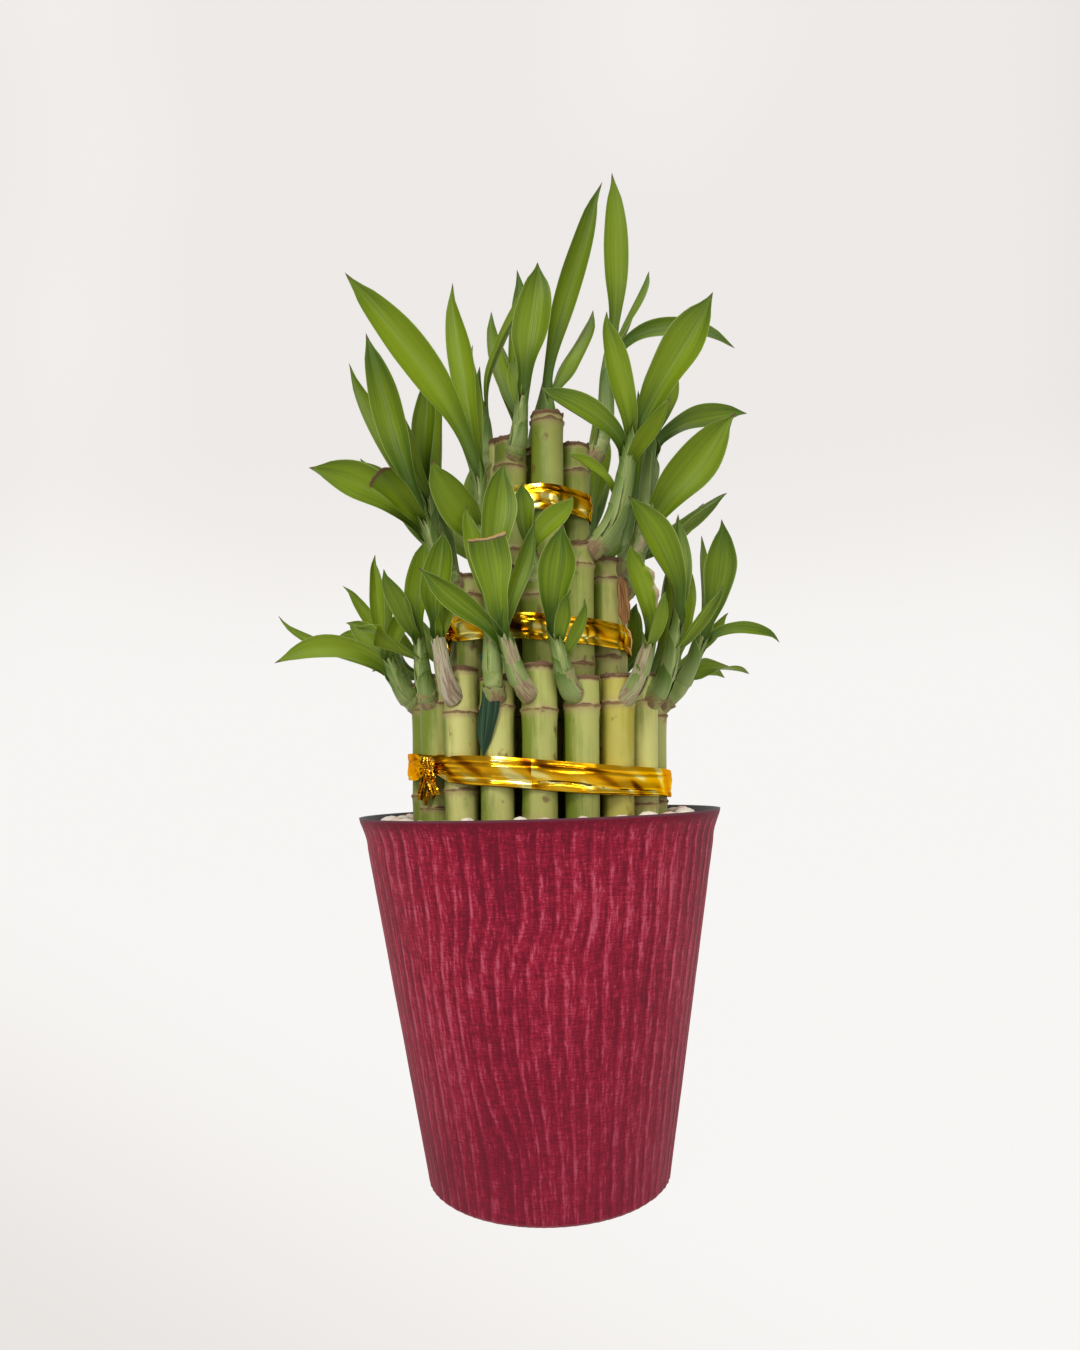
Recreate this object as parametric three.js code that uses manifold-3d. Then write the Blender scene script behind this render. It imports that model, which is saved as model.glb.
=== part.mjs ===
// Lucky bamboo: three rings of cut canes, each with its leafy shoots, tied with foil ribbons and
// planted in a tapering pot under a dressing of white pebbles. Millimetres, +Z up, the front is -Y.
// The origin is the centre of the pot's underside.
import * as THREE from 'three';
import { mergeVertices } from 'three/addons/utils/BufferGeometryUtils.js';
import Module from 'manifold-3d';

const wasm = await Module();
wasm.setup();

// Pot
const POT_HEIGHT = 121.8;
const RIM_RADIUS = 60;
const NECK_RADIUS = 57.2;
const NECK_DROP = 10;
const FOOT_RADIUS = 40;
const WALL = 2.4;
const FLOOR = 4;
const POT_SIDES = 40;

// Filling
const SOIL_TOP = 113;
const PEBBLE_BED_TOP = 116.5;
const PEBBLE_SIZE = 4.2;
const PEBBLE_COUNT = 26;
const PEBBLE_CLEAR = 0.6;
const GAP = 0.3;

// Canes
const CANE_FOOT = 66;
const CANE_SIDES = 8;
const RIDGE = 0.4;
const RIDGE_HALF = 1.1;
const LEAN = THREE.MathUtils.degToRad(1.2);
const LEAN_PIVOT = 115;
const KNOT_STEP = 1.2;
const BARE_KNOT_DROP = 3;
const TIERS = {
  low: { count: 18, ring: 37.2, radius: 5.6, top: 167, shoot: 155.5, turn: 0, knot: 155.5 },
  mid: { count: 12, ring: 24.7, radius: 5.5, top: 201, shoot: 193, turn: 0, knot: 191.5 },
  tall: { count: 6, ring: 12.4, radius: 5.5, top: 247, shoot: 236, turn: 15, knot: 235 },
  core: { count: 1, ring: 0, radius: 5.5, top: 243, shoot: 236, turn: 0, knot: 235 },
};
// The canes that stand higher than the rest of their tier
const RISES = { mid_30: 9, mid_60: 5, tall_15: 3.5 };

// Ribbons: the tier that each goes round, its middle height, its rise for each millimetre to the
// right, its width, and the angle of its knot, which lies between two canes
const RIBBON_THICK = 0.7;
const RIBBONS = {
  low: { height: 134, tilt: -0.07, width: 9.4, knot: -50 },
  mid: { height: 179.3, tilt: -0.06, width: 8.6, knot: -75 },
  tall: { height: 222.3, tilt: -0.02, width: 8.8, knot: -75 },
};

// Shoots and leaves
const STEM_ROOT_RADIUS = 3.6;
const STEM_TIP_RADIUS = 1.8;
const STEM_SIDES = 6;
const BLADE_THICK = 0.7;
const BLADE_FOLD = 0.26;
const SLIM_LEAF = 7.6;
const LONG_LEAF = 42;

// The shoots of the front, as seen there. Each is keyed by its cane's tier and angle, in degrees
// from the front towards the right. end is the stem's tip, and each leaf has where on the stem it
// starts (0 root, 1 tip), its tip, its width, the way its face looks (degrees, as above), and how
// far its middle arches up. Points are [right, back, up] in the plant's own upright frame.
const SHOOTS = {
  low: {
    '-100': {
      end: [-50, 7, 176],
      leaves: [
        { at: 0.5, tip: [-89, 2, 188], wide: 5, face: 30, arch: -6 },
        { at: 0.8, tip: [-66, 6, 200], wide: 5, face: -20, arch: 1 },
        { at: 1, tip: [-53, 10, 203], wide: 6, face: -30, arch: 0 },
        { at: 0.7, tip: [-72, 18, 184], wide: 8, face: -70, arch: 6 },
      ],
    },
    '-80': {
      end: [-49, -10, 172],
      leaves: [
        { at: 0.7, tip: [-84.5, -15, 170], wide: 8, face: -10, arch: 13 },
        { at: 1, tip: [-54, -11, 206], wide: 5.5, face: 0, arch: 0 },
        { at: 0.95, tip: [-40, -17, 192], wide: 6.5, face: 10, arch: 0 },
        { at: 0.85, tip: [-63, -4, 186], wide: 7.5, face: -20, arch: 2 },
      ],
    },
    '-60': {
      end: [-37, -27, 176],
      leaves: [
        { at: 1, tip: [-34.5, -31, 206], wide: 9, face: -15, arch: 0 },
        { at: 0.8, tip: [-48, -29, 197], wide: 7, face: -40, arch: 2 },
        { at: 0.6, tip: [-55, -36, 178], wide: 8, face: -60, arch: 6 },
      ],
    },
    '-40': {
      end: [-30, -39, 175],
      leaves: [
        { at: 1, tip: [-27.5, -42, 205.5], wide: 10.5, face: -10, arch: 0 },
        { at: 0.9, tip: [-26, -40, 188], wide: 5, face: 10, arch: 0 },
      ],
    },
    '-20': {
      end: [-13.5, -41.5, 188],
      leaves: [
        { at: 1, tip: [-10.5, -41, 226], wide: 11, face: 5, arch: 0 },
        { at: 0.75, tip: [-22, -38, 214], wide: 7, face: -20, arch: 0 },
      ],
    },
    0: {
      end: [-10, -48, 174],
      leaves: [
        { at: 1, tip: [-14.5, -51.5, 201], wide: 12, face: 0, arch: 0, cut: true },
        { at: 0.9, tip: [-1.2, -47, 207], wide: 6.5, face: 30, arch: 0 },
        { at: 0.8, tip: [-33.5, -51, 193.5], wide: 8, face: -10, arch: -2 },
      ],
    },
    20: {
      end: [4.5, -47, 174],
      leaves: [
        { at: 1, tip: [6.6, -53, 204.5], wide: 12, face: 0, arch: 0 },
        { at: 0.8, tip: [8, -55, 185.5], wide: 5, face: 10, arch: 0 },
        { at: 0.6, tip: [14, -48, 184], wide: 4.5, face: 40, arch: 0 },
      ],
    },
    40: {
      end: [33, -39, 173],
      leaves: [
        { at: 1, tip: [26, -44, 201], wide: 9, face: 10, arch: -1 },
        { at: 0.7, tip: [36, -50, 186], wide: 6, face: 40, arch: 1 },
      ],
    },
    60: {
      end: [43, -28, 181],
      leaves: [
        { at: 1, tip: [27, -41, 216], wide: 12.5, face: 28, arch: 3 },
        { at: 0.8, tip: [44, -20, 216], wide: 8.5, face: 35, arch: 0 },
        { at: 0.5, tip: [56, -34, 190], wide: 7, face: 60, arch: 3 },
      ],
    },
    80: {
      end: [53, -12, 178],
      leaves: [
        { at: 1, tip: [59.6, -18, 214.5], wide: 11.5, face: 20, arch: 0 },
        { at: 0.85, tip: [55, -3, 213], wide: 8, face: 70, arch: 0 },
        { at: 0.9, tip: [79, -10, 177.5], wide: 5, face: 10, arch: 8 },
      ],
    },
  },
  mid: {
    '-90': {
      end: [-37, 3, 228],
      leaves: [
        { at: 1, tip: [-37, 4, 271], wide: 10, face: -20, arch: 0 },
        { at: 0.85, tip: [-48, 0, 262], wide: 8.5, face: -40, arch: 0 },
        { at: 0.7, tip: [-62, 12, 244], wide: 9, face: -80, arch: 4 },
      ],
    },
    '-60': {
      end: [-36, -18, 215],
      leaves: [
        { at: 0.75, tip: [-71.5, -22, 231], wide: 13.5, face: -15, arch: 5 },
        { at: 0.9, tip: [-48.5, -30, 226], wide: 11.5, face: -25, arch: 0, cut: true },
        { at: 1, tip: [-55, -14, 276.5], wide: 11, face: -10, arch: 0 },
        { at: 0.85, tip: [-62.5, -6, 270], wide: 7, face: -30, arch: 0 },
      ],
    },
    '-30': {
      end: [-18, -32, 224],
      leaves: [
        { at: 1, tip: [-56.5, -37, 284], wide: 13, face: -5, arch: 2 },
        { at: 0.35, tip: [-31.5, -42, 226], wide: 12.5, face: -10, arch: 0 },
        { at: 0.72, tip: [-21, -22, 269], wide: 5, face: 10, arch: 0 },
        { at: 0.9, tip: [-27, -23, 287.5], wide: 8.5, face: -15, arch: 0 },
      ],
    },
    0: {
      end: [-3, -32, 203],
      leaves: [
        { at: 0.9, tip: [11.5, -35, 217], wide: 8, face: 10, arch: 0 },
        { at: 1, tip: [-5, -34.5, 222], wide: 6.5, face: -10, arch: 0 },
      ],
    },
    30: {
      end: [30, -26, 238],
      leaves: [
        { at: 0.95, tip: [53.5, -34, 278.5], wide: 14, face: 5, arch: 0 },
        { at: 0.9, tip: [20, -34, 273], wide: 9, face: 0, arch: 0 },
        { at: 0.75, tip: [38.5, -42, 244], wide: 6.5, face: 15, arch: 0 },
        { at: 1, tip: [42.5, -14, 276.5], wide: 7, face: 35, arch: 0 },
        { at: 0.55, tip: [9, -33, 230.5], wide: 4, face: 0, arch: 5 },
        { at: 0.85, tip: [1, -32, 251], wide: 10, face: 5, arch: 3 },
      ],
    },
    60: {
      end: [37.5, -13, 240],
      leaves: [
        { at: 0.35, tip: [61.5, -21, 248], wide: 15, face: 15, arch: -1 },
        { at: 0.95, tip: [70.5, 0, 255.5], wide: 8, face: 30, arch: 5 },
        { at: 1, tip: [47, 2, 278], wide: 9, face: 60, arch: 0 },
      ],
    },
    90: {
      end: [36, 6, 224],
      leaves: [
        { at: 0.4, tip: [66, 10, 232], wide: 11, face: 90, arch: 3 },
        { at: 0.75, tip: [58, 18, 256], wide: 11, face: 110, arch: 2 },
        { at: 1, tip: [38, 14, 266], wide: 9.5, face: 90, arch: 0 },
      ],
    },
  },
  tall: {
    '-105': {
      end: [-18, 3, 254],
      leaves: [
        { at: 1, tip: [-2.5, -4, 298], wide: 7, face: -70, arch: 0 },
        { at: 0.85, tip: [-29, 9, 296], wide: 9, face: -80, arch: 0 },
      ],
    },
    '-45': {
      end: [-4.5, -18, 254],
      leaves: [
        { at: 1, tip: [1, -20, 295.5], wide: 12.5, face: -5, arch: 0 },
        { at: 0.7, tip: [-8, -15, 268], wide: 5, face: -30, arch: 0 },
      ],
    },
    75: {
      end: [25, 2, 277],
      leaves: [
        { at: 1, tip: [26.5, -2, 335], wide: 9, face: 10, arch: 0 },
        { at: 0.9, tip: [65.5, -6, 274], wide: 7.5, face: 5, arch: 16 },
        { at: 0.8, tip: [40, 12, 310], wide: 9, face: 100, arch: 0 },
      ],
    },
    135: {
      end: [4, 18, 265],
      leaves: [
        { at: 1, tip: [22, 11, 340.5], wide: 9.5, face: 20, arch: 0 },
        { at: 0.85, tip: [22, 32, 306], wide: 9, face: 140, arch: 0 },
      ],
    },
    195: {
      end: [-6, 21, 258],
      leaves: [
        { at: 0.65, tip: [-14, 42, 300], wide: 9, face: -165, arch: 3 },
        { at: 0.85, tip: [-17, 28, 304], wide: 10, face: -140, arch: 0 },
        { at: 1, tip: [-6, 26, 318], wide: 9, face: 180, arch: 0 },
      ],
    },
  },
};

// The shoots that aren't listed above follow a pattern: each keeps to its own slice of the ring.
// stem is [outwards, up] from the cane, and a leaf is [start, outwards, side, up, width, arch] from
// the stem's tip, with side in degrees round the plant.
const PATTERNS = {
  low: {
    stem: [13, 17],
    leaves: [
      [0.6, 25, -6, 0, 9, 7],
      [0.85, 16, 6, 20, 10, 1],
      [1, 3, -3, 34, 9.5, 0],
    ],
  },
  mid: {
    stem: [12, 34],
    leaves: [
      [0.4, 27, 7, 14, 12.5, 2],
      [0.75, 22, -8, 32, 12, 2],
      [1, 4, 3, 54, 11, 0],
    ],
  },
};
const PATTERN_SPREAD = 0.22;
const BARE = ['tall_15', 'core_0'];
const SEED = 24;

const materials = {
  pot: new THREE.MeshStandardMaterial({ color: 0x8c1f3d, roughness: 0.55, metalness: 0 }),
  soil: new THREE.MeshStandardMaterial({ color: 0x3a2a20, roughness: 0.95, metalness: 0 }),
  pebble: new THREE.MeshStandardMaterial({ color: 0xe6ded4, roughness: 0.6, metalness: 0 }),
  foil: new THREE.MeshStandardMaterial({ color: 0xd49a12, roughness: 0.2, metalness: 1 }),
  plant: new THREE.MeshStandardMaterial({ color: 0x86a04a, roughness: 0.45, metalness: 0 }),
};

// A number from 0 to 1 from a sequence that is the same on every run.
function makeRandom(seed) {
  let state = seed;
  return () => {
    state = (state * 16807) % 2147483647;
    return state / 2147483647;
  };
}

// Solids to and from three.js geometry

function toSolid(geometry) {
  const bare = geometry.clone();
  bare.deleteAttribute('normal');
  bare.deleteAttribute('uv');
  const merged = mergeVertices(bare, 1e-4);
  return new wasm.Manifold(
    new wasm.Mesh({
      numProp: 3,
      vertProperties: new Float32Array(merged.attributes.position.array),
      triVerts: new Uint32Array(merged.index.array),
    }),
  );
}

function toGeometry(solid) {
  const mesh = solid.getMesh();
  const geometry = new THREE.BufferGeometry();
  geometry.setAttribute('position', new THREE.BufferAttribute(mesh.vertProperties, 3));
  geometry.setIndex(new THREE.BufferAttribute(mesh.triVerts, 1));
  const flat = geometry.toNonIndexed();
  flat.computeVertexNormals();
  return flat;
}

// The largest of the bodies that a solid falls into: loose scraps from a cut are dropped.
function largestBody(solid) {
  return solid.decompose().sort((a, b) => b.volume() - a.volume())[0];
}

function joinAll(solids) {
  return solids.reduce((sum, next) => sum.add(next));
}

// A closed skin over rings of points that all have the same count. flipped says which strips
// between neighbouring points take the other diagonal.
function skinRings(rings, flipped = () => false) {
  const count = rings[0].length;
  const positions = rings.flat().flatMap((p) => [p.x, p.y, p.z]);
  const index = [];
  for (let r = 0; r + 1 < rings.length; r += 1) {
    for (let k = 0; k < count; k += 1) {
      const a = r * count + k;
      const b = r * count + ((k + 1) % count);
      const c = b + count;
      const d = a + count;
      if (flipped(k)) index.push(a, b, d, b, c, d);
      else index.push(a, b, c, a, c, d);
    }
  }
  const last = (rings.length - 1) * count;
  for (let k = 0; k + 1 < count / 2; k += 1) {
    const far = count - 1 - k;
    index.push(k, far, k + 1, k + 1, far, far - 1);
    index.push(last + k, last + k + 1, last + far, last + k + 1, last + far - 1, last + far);
  }
  const geometry = new THREE.BufferGeometry();
  geometry.setAttribute('position', new THREE.Float32BufferAttribute(positions, 3));
  geometry.setIndex(index);
  return geometry;
}

const polar = (radius, degrees, z) => {
  const angle = THREE.MathUtils.degToRad(degrees);
  return new THREE.Vector3(radius * Math.sin(angle), -radius * Math.cos(angle), z);
};

// The pot and its filling

const NECK = POT_HEIGHT - NECK_DROP;

// The radius of the pot's tapering outside at a height up to its neck.
const potRadius = (z) => THREE.MathUtils.lerp(FOOT_RADIUS, NECK_RADIUS, z / NECK);

// A turned shape from its profile's [radius, height] points.
function turned(profile, sides) {
  const points = profile.map(([r, z]) => new THREE.Vector2(r, z));
  return new THREE.LatheGeometry(points, sides).rotateX(Math.PI / 2);
}

function makePot() {
  const edge = 1.2;
  return turned(
    [
      [0, 0],
      [FOOT_RADIUS - edge, 0],
      [FOOT_RADIUS, edge],
      [NECK_RADIUS, NECK],
      [NECK_RADIUS + 0.7, POT_HEIGHT - 4],
      [RIM_RADIUS, POT_HEIGHT - 0.8],
      [RIM_RADIUS - 0.3, POT_HEIGHT],
      [RIM_RADIUS - WALL * 0.7, POT_HEIGHT],
      [NECK_RADIUS - WALL, NECK],
      [potRadius(FLOOR) - WALL, FLOOR],
      [0, FLOOR],
    ],
    POT_SIDES,
  );
}

// The soil fills the pot to just below the neck, with a plain hole for each cane.
function makeSoil(caneHoles) {
  const low = FLOOR + GAP;
  const reach = (z) => potRadius(z) - WALL - GAP;
  const profile = [[0, low], [reach(low), low], [reach(SOIL_TOP), SOIL_TOP], [0, SOIL_TOP]];
  return toSolid(turned(profile, POT_SIDES / 2)).subtract(caneHoles);
}

// The white stones lie in a ring round the canes, half sunk in their bed.
function makePebbles() {
  const random = makeRandom(SEED + 5);
  const inside = TIERS.low.ring + TIERS.low.radius + RIDGE + PEBBLE_CLEAR;
  const outside = potRadius(SOIL_TOP) - WALL - GAP;
  const bed = [
    [inside, SOIL_TOP + GAP],
    [outside, SOIL_TOP + GAP],
    [outside, PEBBLE_BED_TOP],
    [inside, PEBBLE_BED_TOP],
    [inside, SOIL_TOP + GAP],
  ];
  const stones = [];
  for (let i = 0; i < PEBBLE_COUNT; i += 1) {
    const size = PEBBLE_SIZE * (0.9 + random() * 0.2);
    const middle = i % 2 ? outside - size : inside + size;
    const centre = polar(middle, ((i + random() * 0.3) * 360) / PEBBLE_COUNT, 0);
    const stone = new THREE.IcosahedronGeometry(size, 0).rotateX(random() * Math.PI).scale(1, 1, 0.8);
    stone.rotateZ(random() * Math.PI).translate(centre.x, centre.y, PEBBLE_BED_TOP + random());
    stones.push(toSolid(stone));
  }
  return joinAll([toSolid(turned(bed, POT_SIDES / 2)), ...stones]);
}

// Canes

const caneRadius = (tier, i) => TIERS[tier].radius - 0.25 * (((i * 7) % 5) / 4);
const caneTop = (tier, i, rise) => TIERS[tier].top + rise - 1.2 * ((i * 3) % 4);

// A cane is a round rod with a cut top. It widens at its knot and narrows again above it.
function caneSolid(tier, i, centre, rise, bare) {
  const radius = caneRadius(tier, i);
  const top = caneTop(tier, i, rise);
  const underShoot = TIERS[tier].knot + rise + KNOT_STEP * (((i * 5) % 4) - 2);
  const knot = bare ? top - BARE_KNOT_DROP : underShoot;
  const profile = [
    [0, CANE_FOOT],
    [radius, CANE_FOOT],
    [radius, knot - RIDGE_HALF],
    [radius + RIDGE, knot],
    [radius, top],
    [0, top],
  ];
  return toSolid(turned(profile, CANE_SIDES).translate(centre.x, centre.y, 0));
}

// Shoots

// A stem leaves the cane outwards and curves up to its tip.
function stemCurve(root, outward, end) {
  const rise = end.clone().sub(root);
  const reach = rise.length();
  return new THREE.CubicBezierCurve3(
    root,
    root.clone().addScaledVector(outward, reach * 0.42),
    end.clone().addScaledVector(rise, -0.3).setZ(end.z - reach * 0.38),
    end,
  );
}

// A tapering stem. Its curve lies in one upright plane, so all its rings share that plane's normal.
function stemSolid(curve) {
  const steps = curve.getLength() > 30 ? 3 : 2;
  const rise = curve.v3.clone().sub(curve.v0);
  const side = new THREE.Vector3(-rise.y, rise.x, 0).normalize();
  const rings = [];
  for (let i = 0; i <= steps; i += 1) {
    const t = i / steps;
    const centre = curve.getPoint(t);
    const other = new THREE.Vector3().crossVectors(curve.getTangent(t), side);
    const radius = THREE.MathUtils.lerp(STEM_ROOT_RADIUS, STEM_TIP_RADIUS, t ** 0.8);
    const ring = [];
    for (let k = 0; k < STEM_SIDES; k += 1) {
      const angle = (2 * Math.PI * k) / STEM_SIDES;
      const point = centre.clone().addScaledVector(side, radius * Math.cos(angle));
      ring.push(point.addScaledVector(other, radius * Math.sin(angle)));
    }
    rings.push(ring);
  }
  return toSolid(skinRings(rings));
}

// A leaf's width along its length, as a share of its full width: a narrow strap for a good way from
// the stem, widest past the middle and drawn out to a point. A cut leaf widens up to its cut.
function leafWidth(s, cut) {
  const widest = cut ? 1 : 0.62;
  if (s <= widest) return THREE.MathUtils.lerp(0.42, 1, THREE.MathUtils.smoothstep(s, 0.1, widest));
  return 1 - ((s - widest) / (1 - widest)) ** 2;
}

function leafCurve(stem, leaf) {
  const root = stem.getPoint(leaf.at);
  const along = stem.getTangent(leaf.at);
  const tip = new THREE.Vector3(...leaf.tip);
  const reach = tip.distanceTo(root);
  root.addScaledVector(along, -STEM_TIP_RADIUS);
  const middle = root.clone().lerp(tip, 0.62);
  middle.z += leaf.arch;
  return new THREE.CubicBezierCurve3(root, root.clone().addScaledVector(along, reach * 0.32), middle, tip);
}

// A blade along its curve, folded up a little from its middle rib to both edges. A slim one is flat.
function leafSolid(stem, leaf) {
  const curve = leafCurve(stem, leaf);
  const facing = polar(1, leaf.face, 0.25);
  const folded = leaf.wide > SLIM_LEAF;
  const stations = curve.getLength() > LONG_LEAF ? [0, 0.3, 0.62, 0.84, 1] : [0, 0.36, 0.72, 1];
  const rings = stations.map((s) => {
    const centre = curve.getPoint(s);
    const along = curve.getTangent(s);
    const across = new THREE.Vector3().crossVectors(along, facing).normalize();
    const normal = new THREE.Vector3().crossVectors(across, along).normalize();
    const half = Math.max((leaf.wide / 2) * leafWidth(s, leaf.cut), BLADE_THICK / 2);
    const rise = folded ? half * BLADE_FOLD : 0;
    const point = (side, face) => {
      const edge = centre.clone().addScaledVector(across, side * half);
      return edge.addScaledVector(normal, Math.abs(side) * rise + (face * BLADE_THICK) / 2);
    };
    const sides = folded ? [-1, 0, 1] : [-1, 1];
    return [...sides.map((side) => point(side, 1)), ...sides.reverse().map((side) => point(side, -1))];
  });
  return toSolid(skinRings(rings, (k) => k > (folded ? 2 : 1)));
}

// The shoot of a cane that isn't in the list, by its tier's pattern.
function patternShoot(tier, degrees, random) {
  const { ring, shoot } = TIERS[tier];
  const { stem, leaves } = PATTERNS[tier];
  const vary = () => 1 + (random() - 0.5) * 2 * PATTERN_SPREAD;
  const mirror = random() < 0.5 ? -1 : 1;
  const end = polar(ring + stem[0] * vary(), degrees, shoot + stem[1] * vary());
  return {
    end: end.toArray(),
    leaves: leaves.map(([at, out, side, up, wide, arch]) => {
      const angle = degrees + side * mirror * vary();
      const tip = polar(ring + stem[0] + out * vary(), angle, end.z + up * vary());
      return { at, tip: tip.toArray(), wide: wide * vary(), face: angle, arch };
    }),
  };
}

function leafyCane(tier, i, degrees, random) {
  const { ring, shoot } = TIERS[tier];
  const centre = polar(ring, degrees, 0);
  const rise = RISES[`${tier}_${degrees}`] ?? 0;
  const bare = BARE.includes(`${tier}_${degrees}`);
  const cane = caneSolid(tier, i, centre, rise, bare);
  if (bare) return cane;
  const spec = SHOOTS[tier]?.[degrees] ?? patternShoot(tier, degrees, random);
  const root = centre.clone().setZ(shoot + rise);
  const end = new THREE.Vector3(...spec.end);
  const outward = end.clone().sub(root).setZ(0).normalize().setZ(0.35).normalize();
  const stem = stemCurve(root, outward, end);
  const leaves = spec.leaves.map((leaf) => leafSolid(stem, leaf));
  return largestBody(joinAll([cane, stemSolid(stem), ...leaves]));
}

// Ribbons

// A taut band round a ring of canes: straight between them, with a flat across each one.
function ribbonSolid(tier, { height, width, knot }) {
  const { count, ring, radius, turn } = TIERS[tier];
  const clear = radius + RIDGE + GAP;
  const outline = (offset) => {
    const points = [];
    for (let i = 0; i < count; i += 1) {
      const degrees = turn + (i * 360) / count;
      const bend = 180 / count;
      const reach = (clear + offset) / Math.cos(THREE.MathUtils.degToRad(bend));
      for (const side of [-bend, bend]) {
        const p = polar(reach, degrees + side, 0).add(polar(ring, degrees, 0));
        points.push(new THREE.Vector2(p.x, p.y));
      }
    }
    return points;
  };
  const shape = new THREE.Shape(outline(RIBBON_THICK));
  shape.holes.push(new THREE.Path(outline(0)));
  const band = new THREE.ExtrudeGeometry(shape, { depth: width, bevelEnabled: false });
  band.translate(0, 0, height - width / 2);
  const betweenCanes = ring * Math.cos(Math.PI / count) + clear;
  return joinAll([toSolid(band), ...knotSolids(betweenCanes, knot, height, width)]);
}

// The gathered knot of a ribbon: a puckered head across the band, and two short tails from it.
function knotSolids(radius, degrees, height, width) {
  const place = (geometry, outwards) => {
    const at = polar(radius + outwards, degrees, height);
    return toSolid(geometry.rotateZ(THREE.MathUtils.degToRad(degrees)).translate(at.x, at.y, at.z));
  };
  const thick = RIBBON_THICK * 2;
  const tail = (tilt, length) =>
    new THREE.BoxGeometry(width * 0.42, thick, length).translate(0, 0, -length / 2).rotateY(tilt);
  return [
    place(new THREE.CylinderGeometry(width * 0.34, width * 0.24, width * 0.8, 7).rotateX(1.2), thick),
    place(tail(0.4, width * 1.25), thick / 2),
    place(tail(-0.35, width), thick / 2),
  ];
}

// Assembly

function addMesh(parent, name, geometry, material) {
  const mesh = new THREE.Mesh(geometry, material);
  mesh.name = name;
  parent.add(mesh);
}

const root = new THREE.Group();
const plant = new THREE.Group();
plant.position.z = LEAN_PIVOT;
plant.rotation.y = LEAN;
root.add(plant);
const upright = new THREE.Group();
upright.position.z = -LEAN_PIVOT;
plant.add(upright);
root.updateMatrixWorld(true);

const holes = [];
const random = makeRandom(SEED);
for (const [tier, { count, ring, radius, turn }] of Object.entries(TIERS)) {
  for (let i = 0; i < count; i += 1) {
    const degrees = ((turn + (i * 360) / count + 125) % 360) - 125;
    const solid = leafyCane(tier, i, degrees, random);
    addMesh(upright, `cane_${tier}_${String(i + 1).padStart(2, '0')}`, toGeometry(solid), materials.plant);
    const centre = polar(ring, degrees, 0);
    const depth = [CANE_FOOT - GAP, SOIL_TOP + radius];
    const bore = [[0, depth[0]], [radius + GAP, depth[0]], [radius + GAP, depth[1]], [0, depth[1]]];
    const hole = turned(bore, CANE_SIDES).translate(centre.x, centre.y, 0);
    holes.push(toSolid(hole.applyMatrix4(upright.matrixWorld)));
  }
}
const caneHoles = joinAll(holes);
for (const [tier, ribbon] of Object.entries(RIBBONS)) {
  const slope = new THREE.Matrix4().makeShear(0, ribbon.tilt, 0, 0, 0, 0);
  const geometry = toGeometry(ribbonSolid(tier, ribbon)).applyMatrix4(slope);
  addMesh(upright, `ribbon_${tier}`, geometry, materials.foil);
}
addMesh(root, 'pot', makePot(), materials.pot);
addMesh(root, 'soil', toGeometry(makeSoil(caneHoles)), materials.soil);
addMesh(root, 'pebbles', toGeometry(makePebbles()), materials.pebble);

export default root;
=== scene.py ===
"""Lucky bamboo in a tapering wood-grain pot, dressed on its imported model.

Sizes inside the shape functions are millimetres in the plant's own upright frame, as in the
model's source; to_scene turns them into metres in the row frame."""
import math

import bmesh
import bpy
from bpy.props import FloatProperty, FloatVectorProperty, IntProperty, PointerProperty
from mathutils import Matrix, Vector, noise


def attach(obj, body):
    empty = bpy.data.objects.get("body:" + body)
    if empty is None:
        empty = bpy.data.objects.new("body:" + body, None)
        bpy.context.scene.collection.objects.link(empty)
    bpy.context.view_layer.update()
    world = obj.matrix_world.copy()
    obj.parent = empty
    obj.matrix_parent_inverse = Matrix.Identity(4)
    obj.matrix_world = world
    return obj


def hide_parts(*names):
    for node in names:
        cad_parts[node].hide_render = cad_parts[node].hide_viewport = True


bl_info = {
    "name": "Lucky bamboo",
    "version": (1, 0, 0),
    "blender": (4, 5, 0),
    "location": "View3D > Sidebar > Bamboo",
    "description": "Dresses a potted lucky bamboo on its packed model",
    "category": "Object",
}

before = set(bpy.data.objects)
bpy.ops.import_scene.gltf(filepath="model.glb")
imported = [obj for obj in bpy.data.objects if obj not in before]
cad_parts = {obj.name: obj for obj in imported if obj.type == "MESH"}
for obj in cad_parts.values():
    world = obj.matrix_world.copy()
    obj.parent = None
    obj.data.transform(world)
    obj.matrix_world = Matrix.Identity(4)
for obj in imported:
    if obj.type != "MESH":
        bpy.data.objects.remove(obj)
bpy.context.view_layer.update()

# Driving sizes, as in the model's source
POT_HEIGHT = 121.8
RIM_RADIUS = 60
NECK_RADIUS = 57.2
NECK = POT_HEIGHT - 10
FOOT_RADIUS = 40
WALL = 2.4
FLOOR = 4
SOIL_TOP = 113
GAP = 0.3
CANE_FOOT = 66
RIDGE = 0.4
KNOT_STEP = 1.2
BARE_KNOT_DROP = 3
LEAN = math.radians(1.2)
LEAN_PIVOT = 115
STEM_ROOT_RADIUS = 3.6
STEM_TIP_RADIUS = 1.8
TIERS = {
    "low": dict(count=18, ring=37.2, radius=5.6, top=167, shoot=155.5, turn=0, knot=155.5),
    "mid": dict(count=12, ring=24.7, radius=5.5, top=201, shoot=193, turn=0, knot=191.5),
    "tall": dict(count=6, ring=12.4, radius=5.5, top=247, shoot=236, turn=15, knot=235),
    "core": dict(count=1, ring=0, radius=5.5, top=243, shoot=236, turn=0, knot=235),
}
# The canes that stand higher than the rest of their tier
RISES = {("mid", 30): 9, ("mid", 60): 5, ("tall", 15): 3.5}
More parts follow.
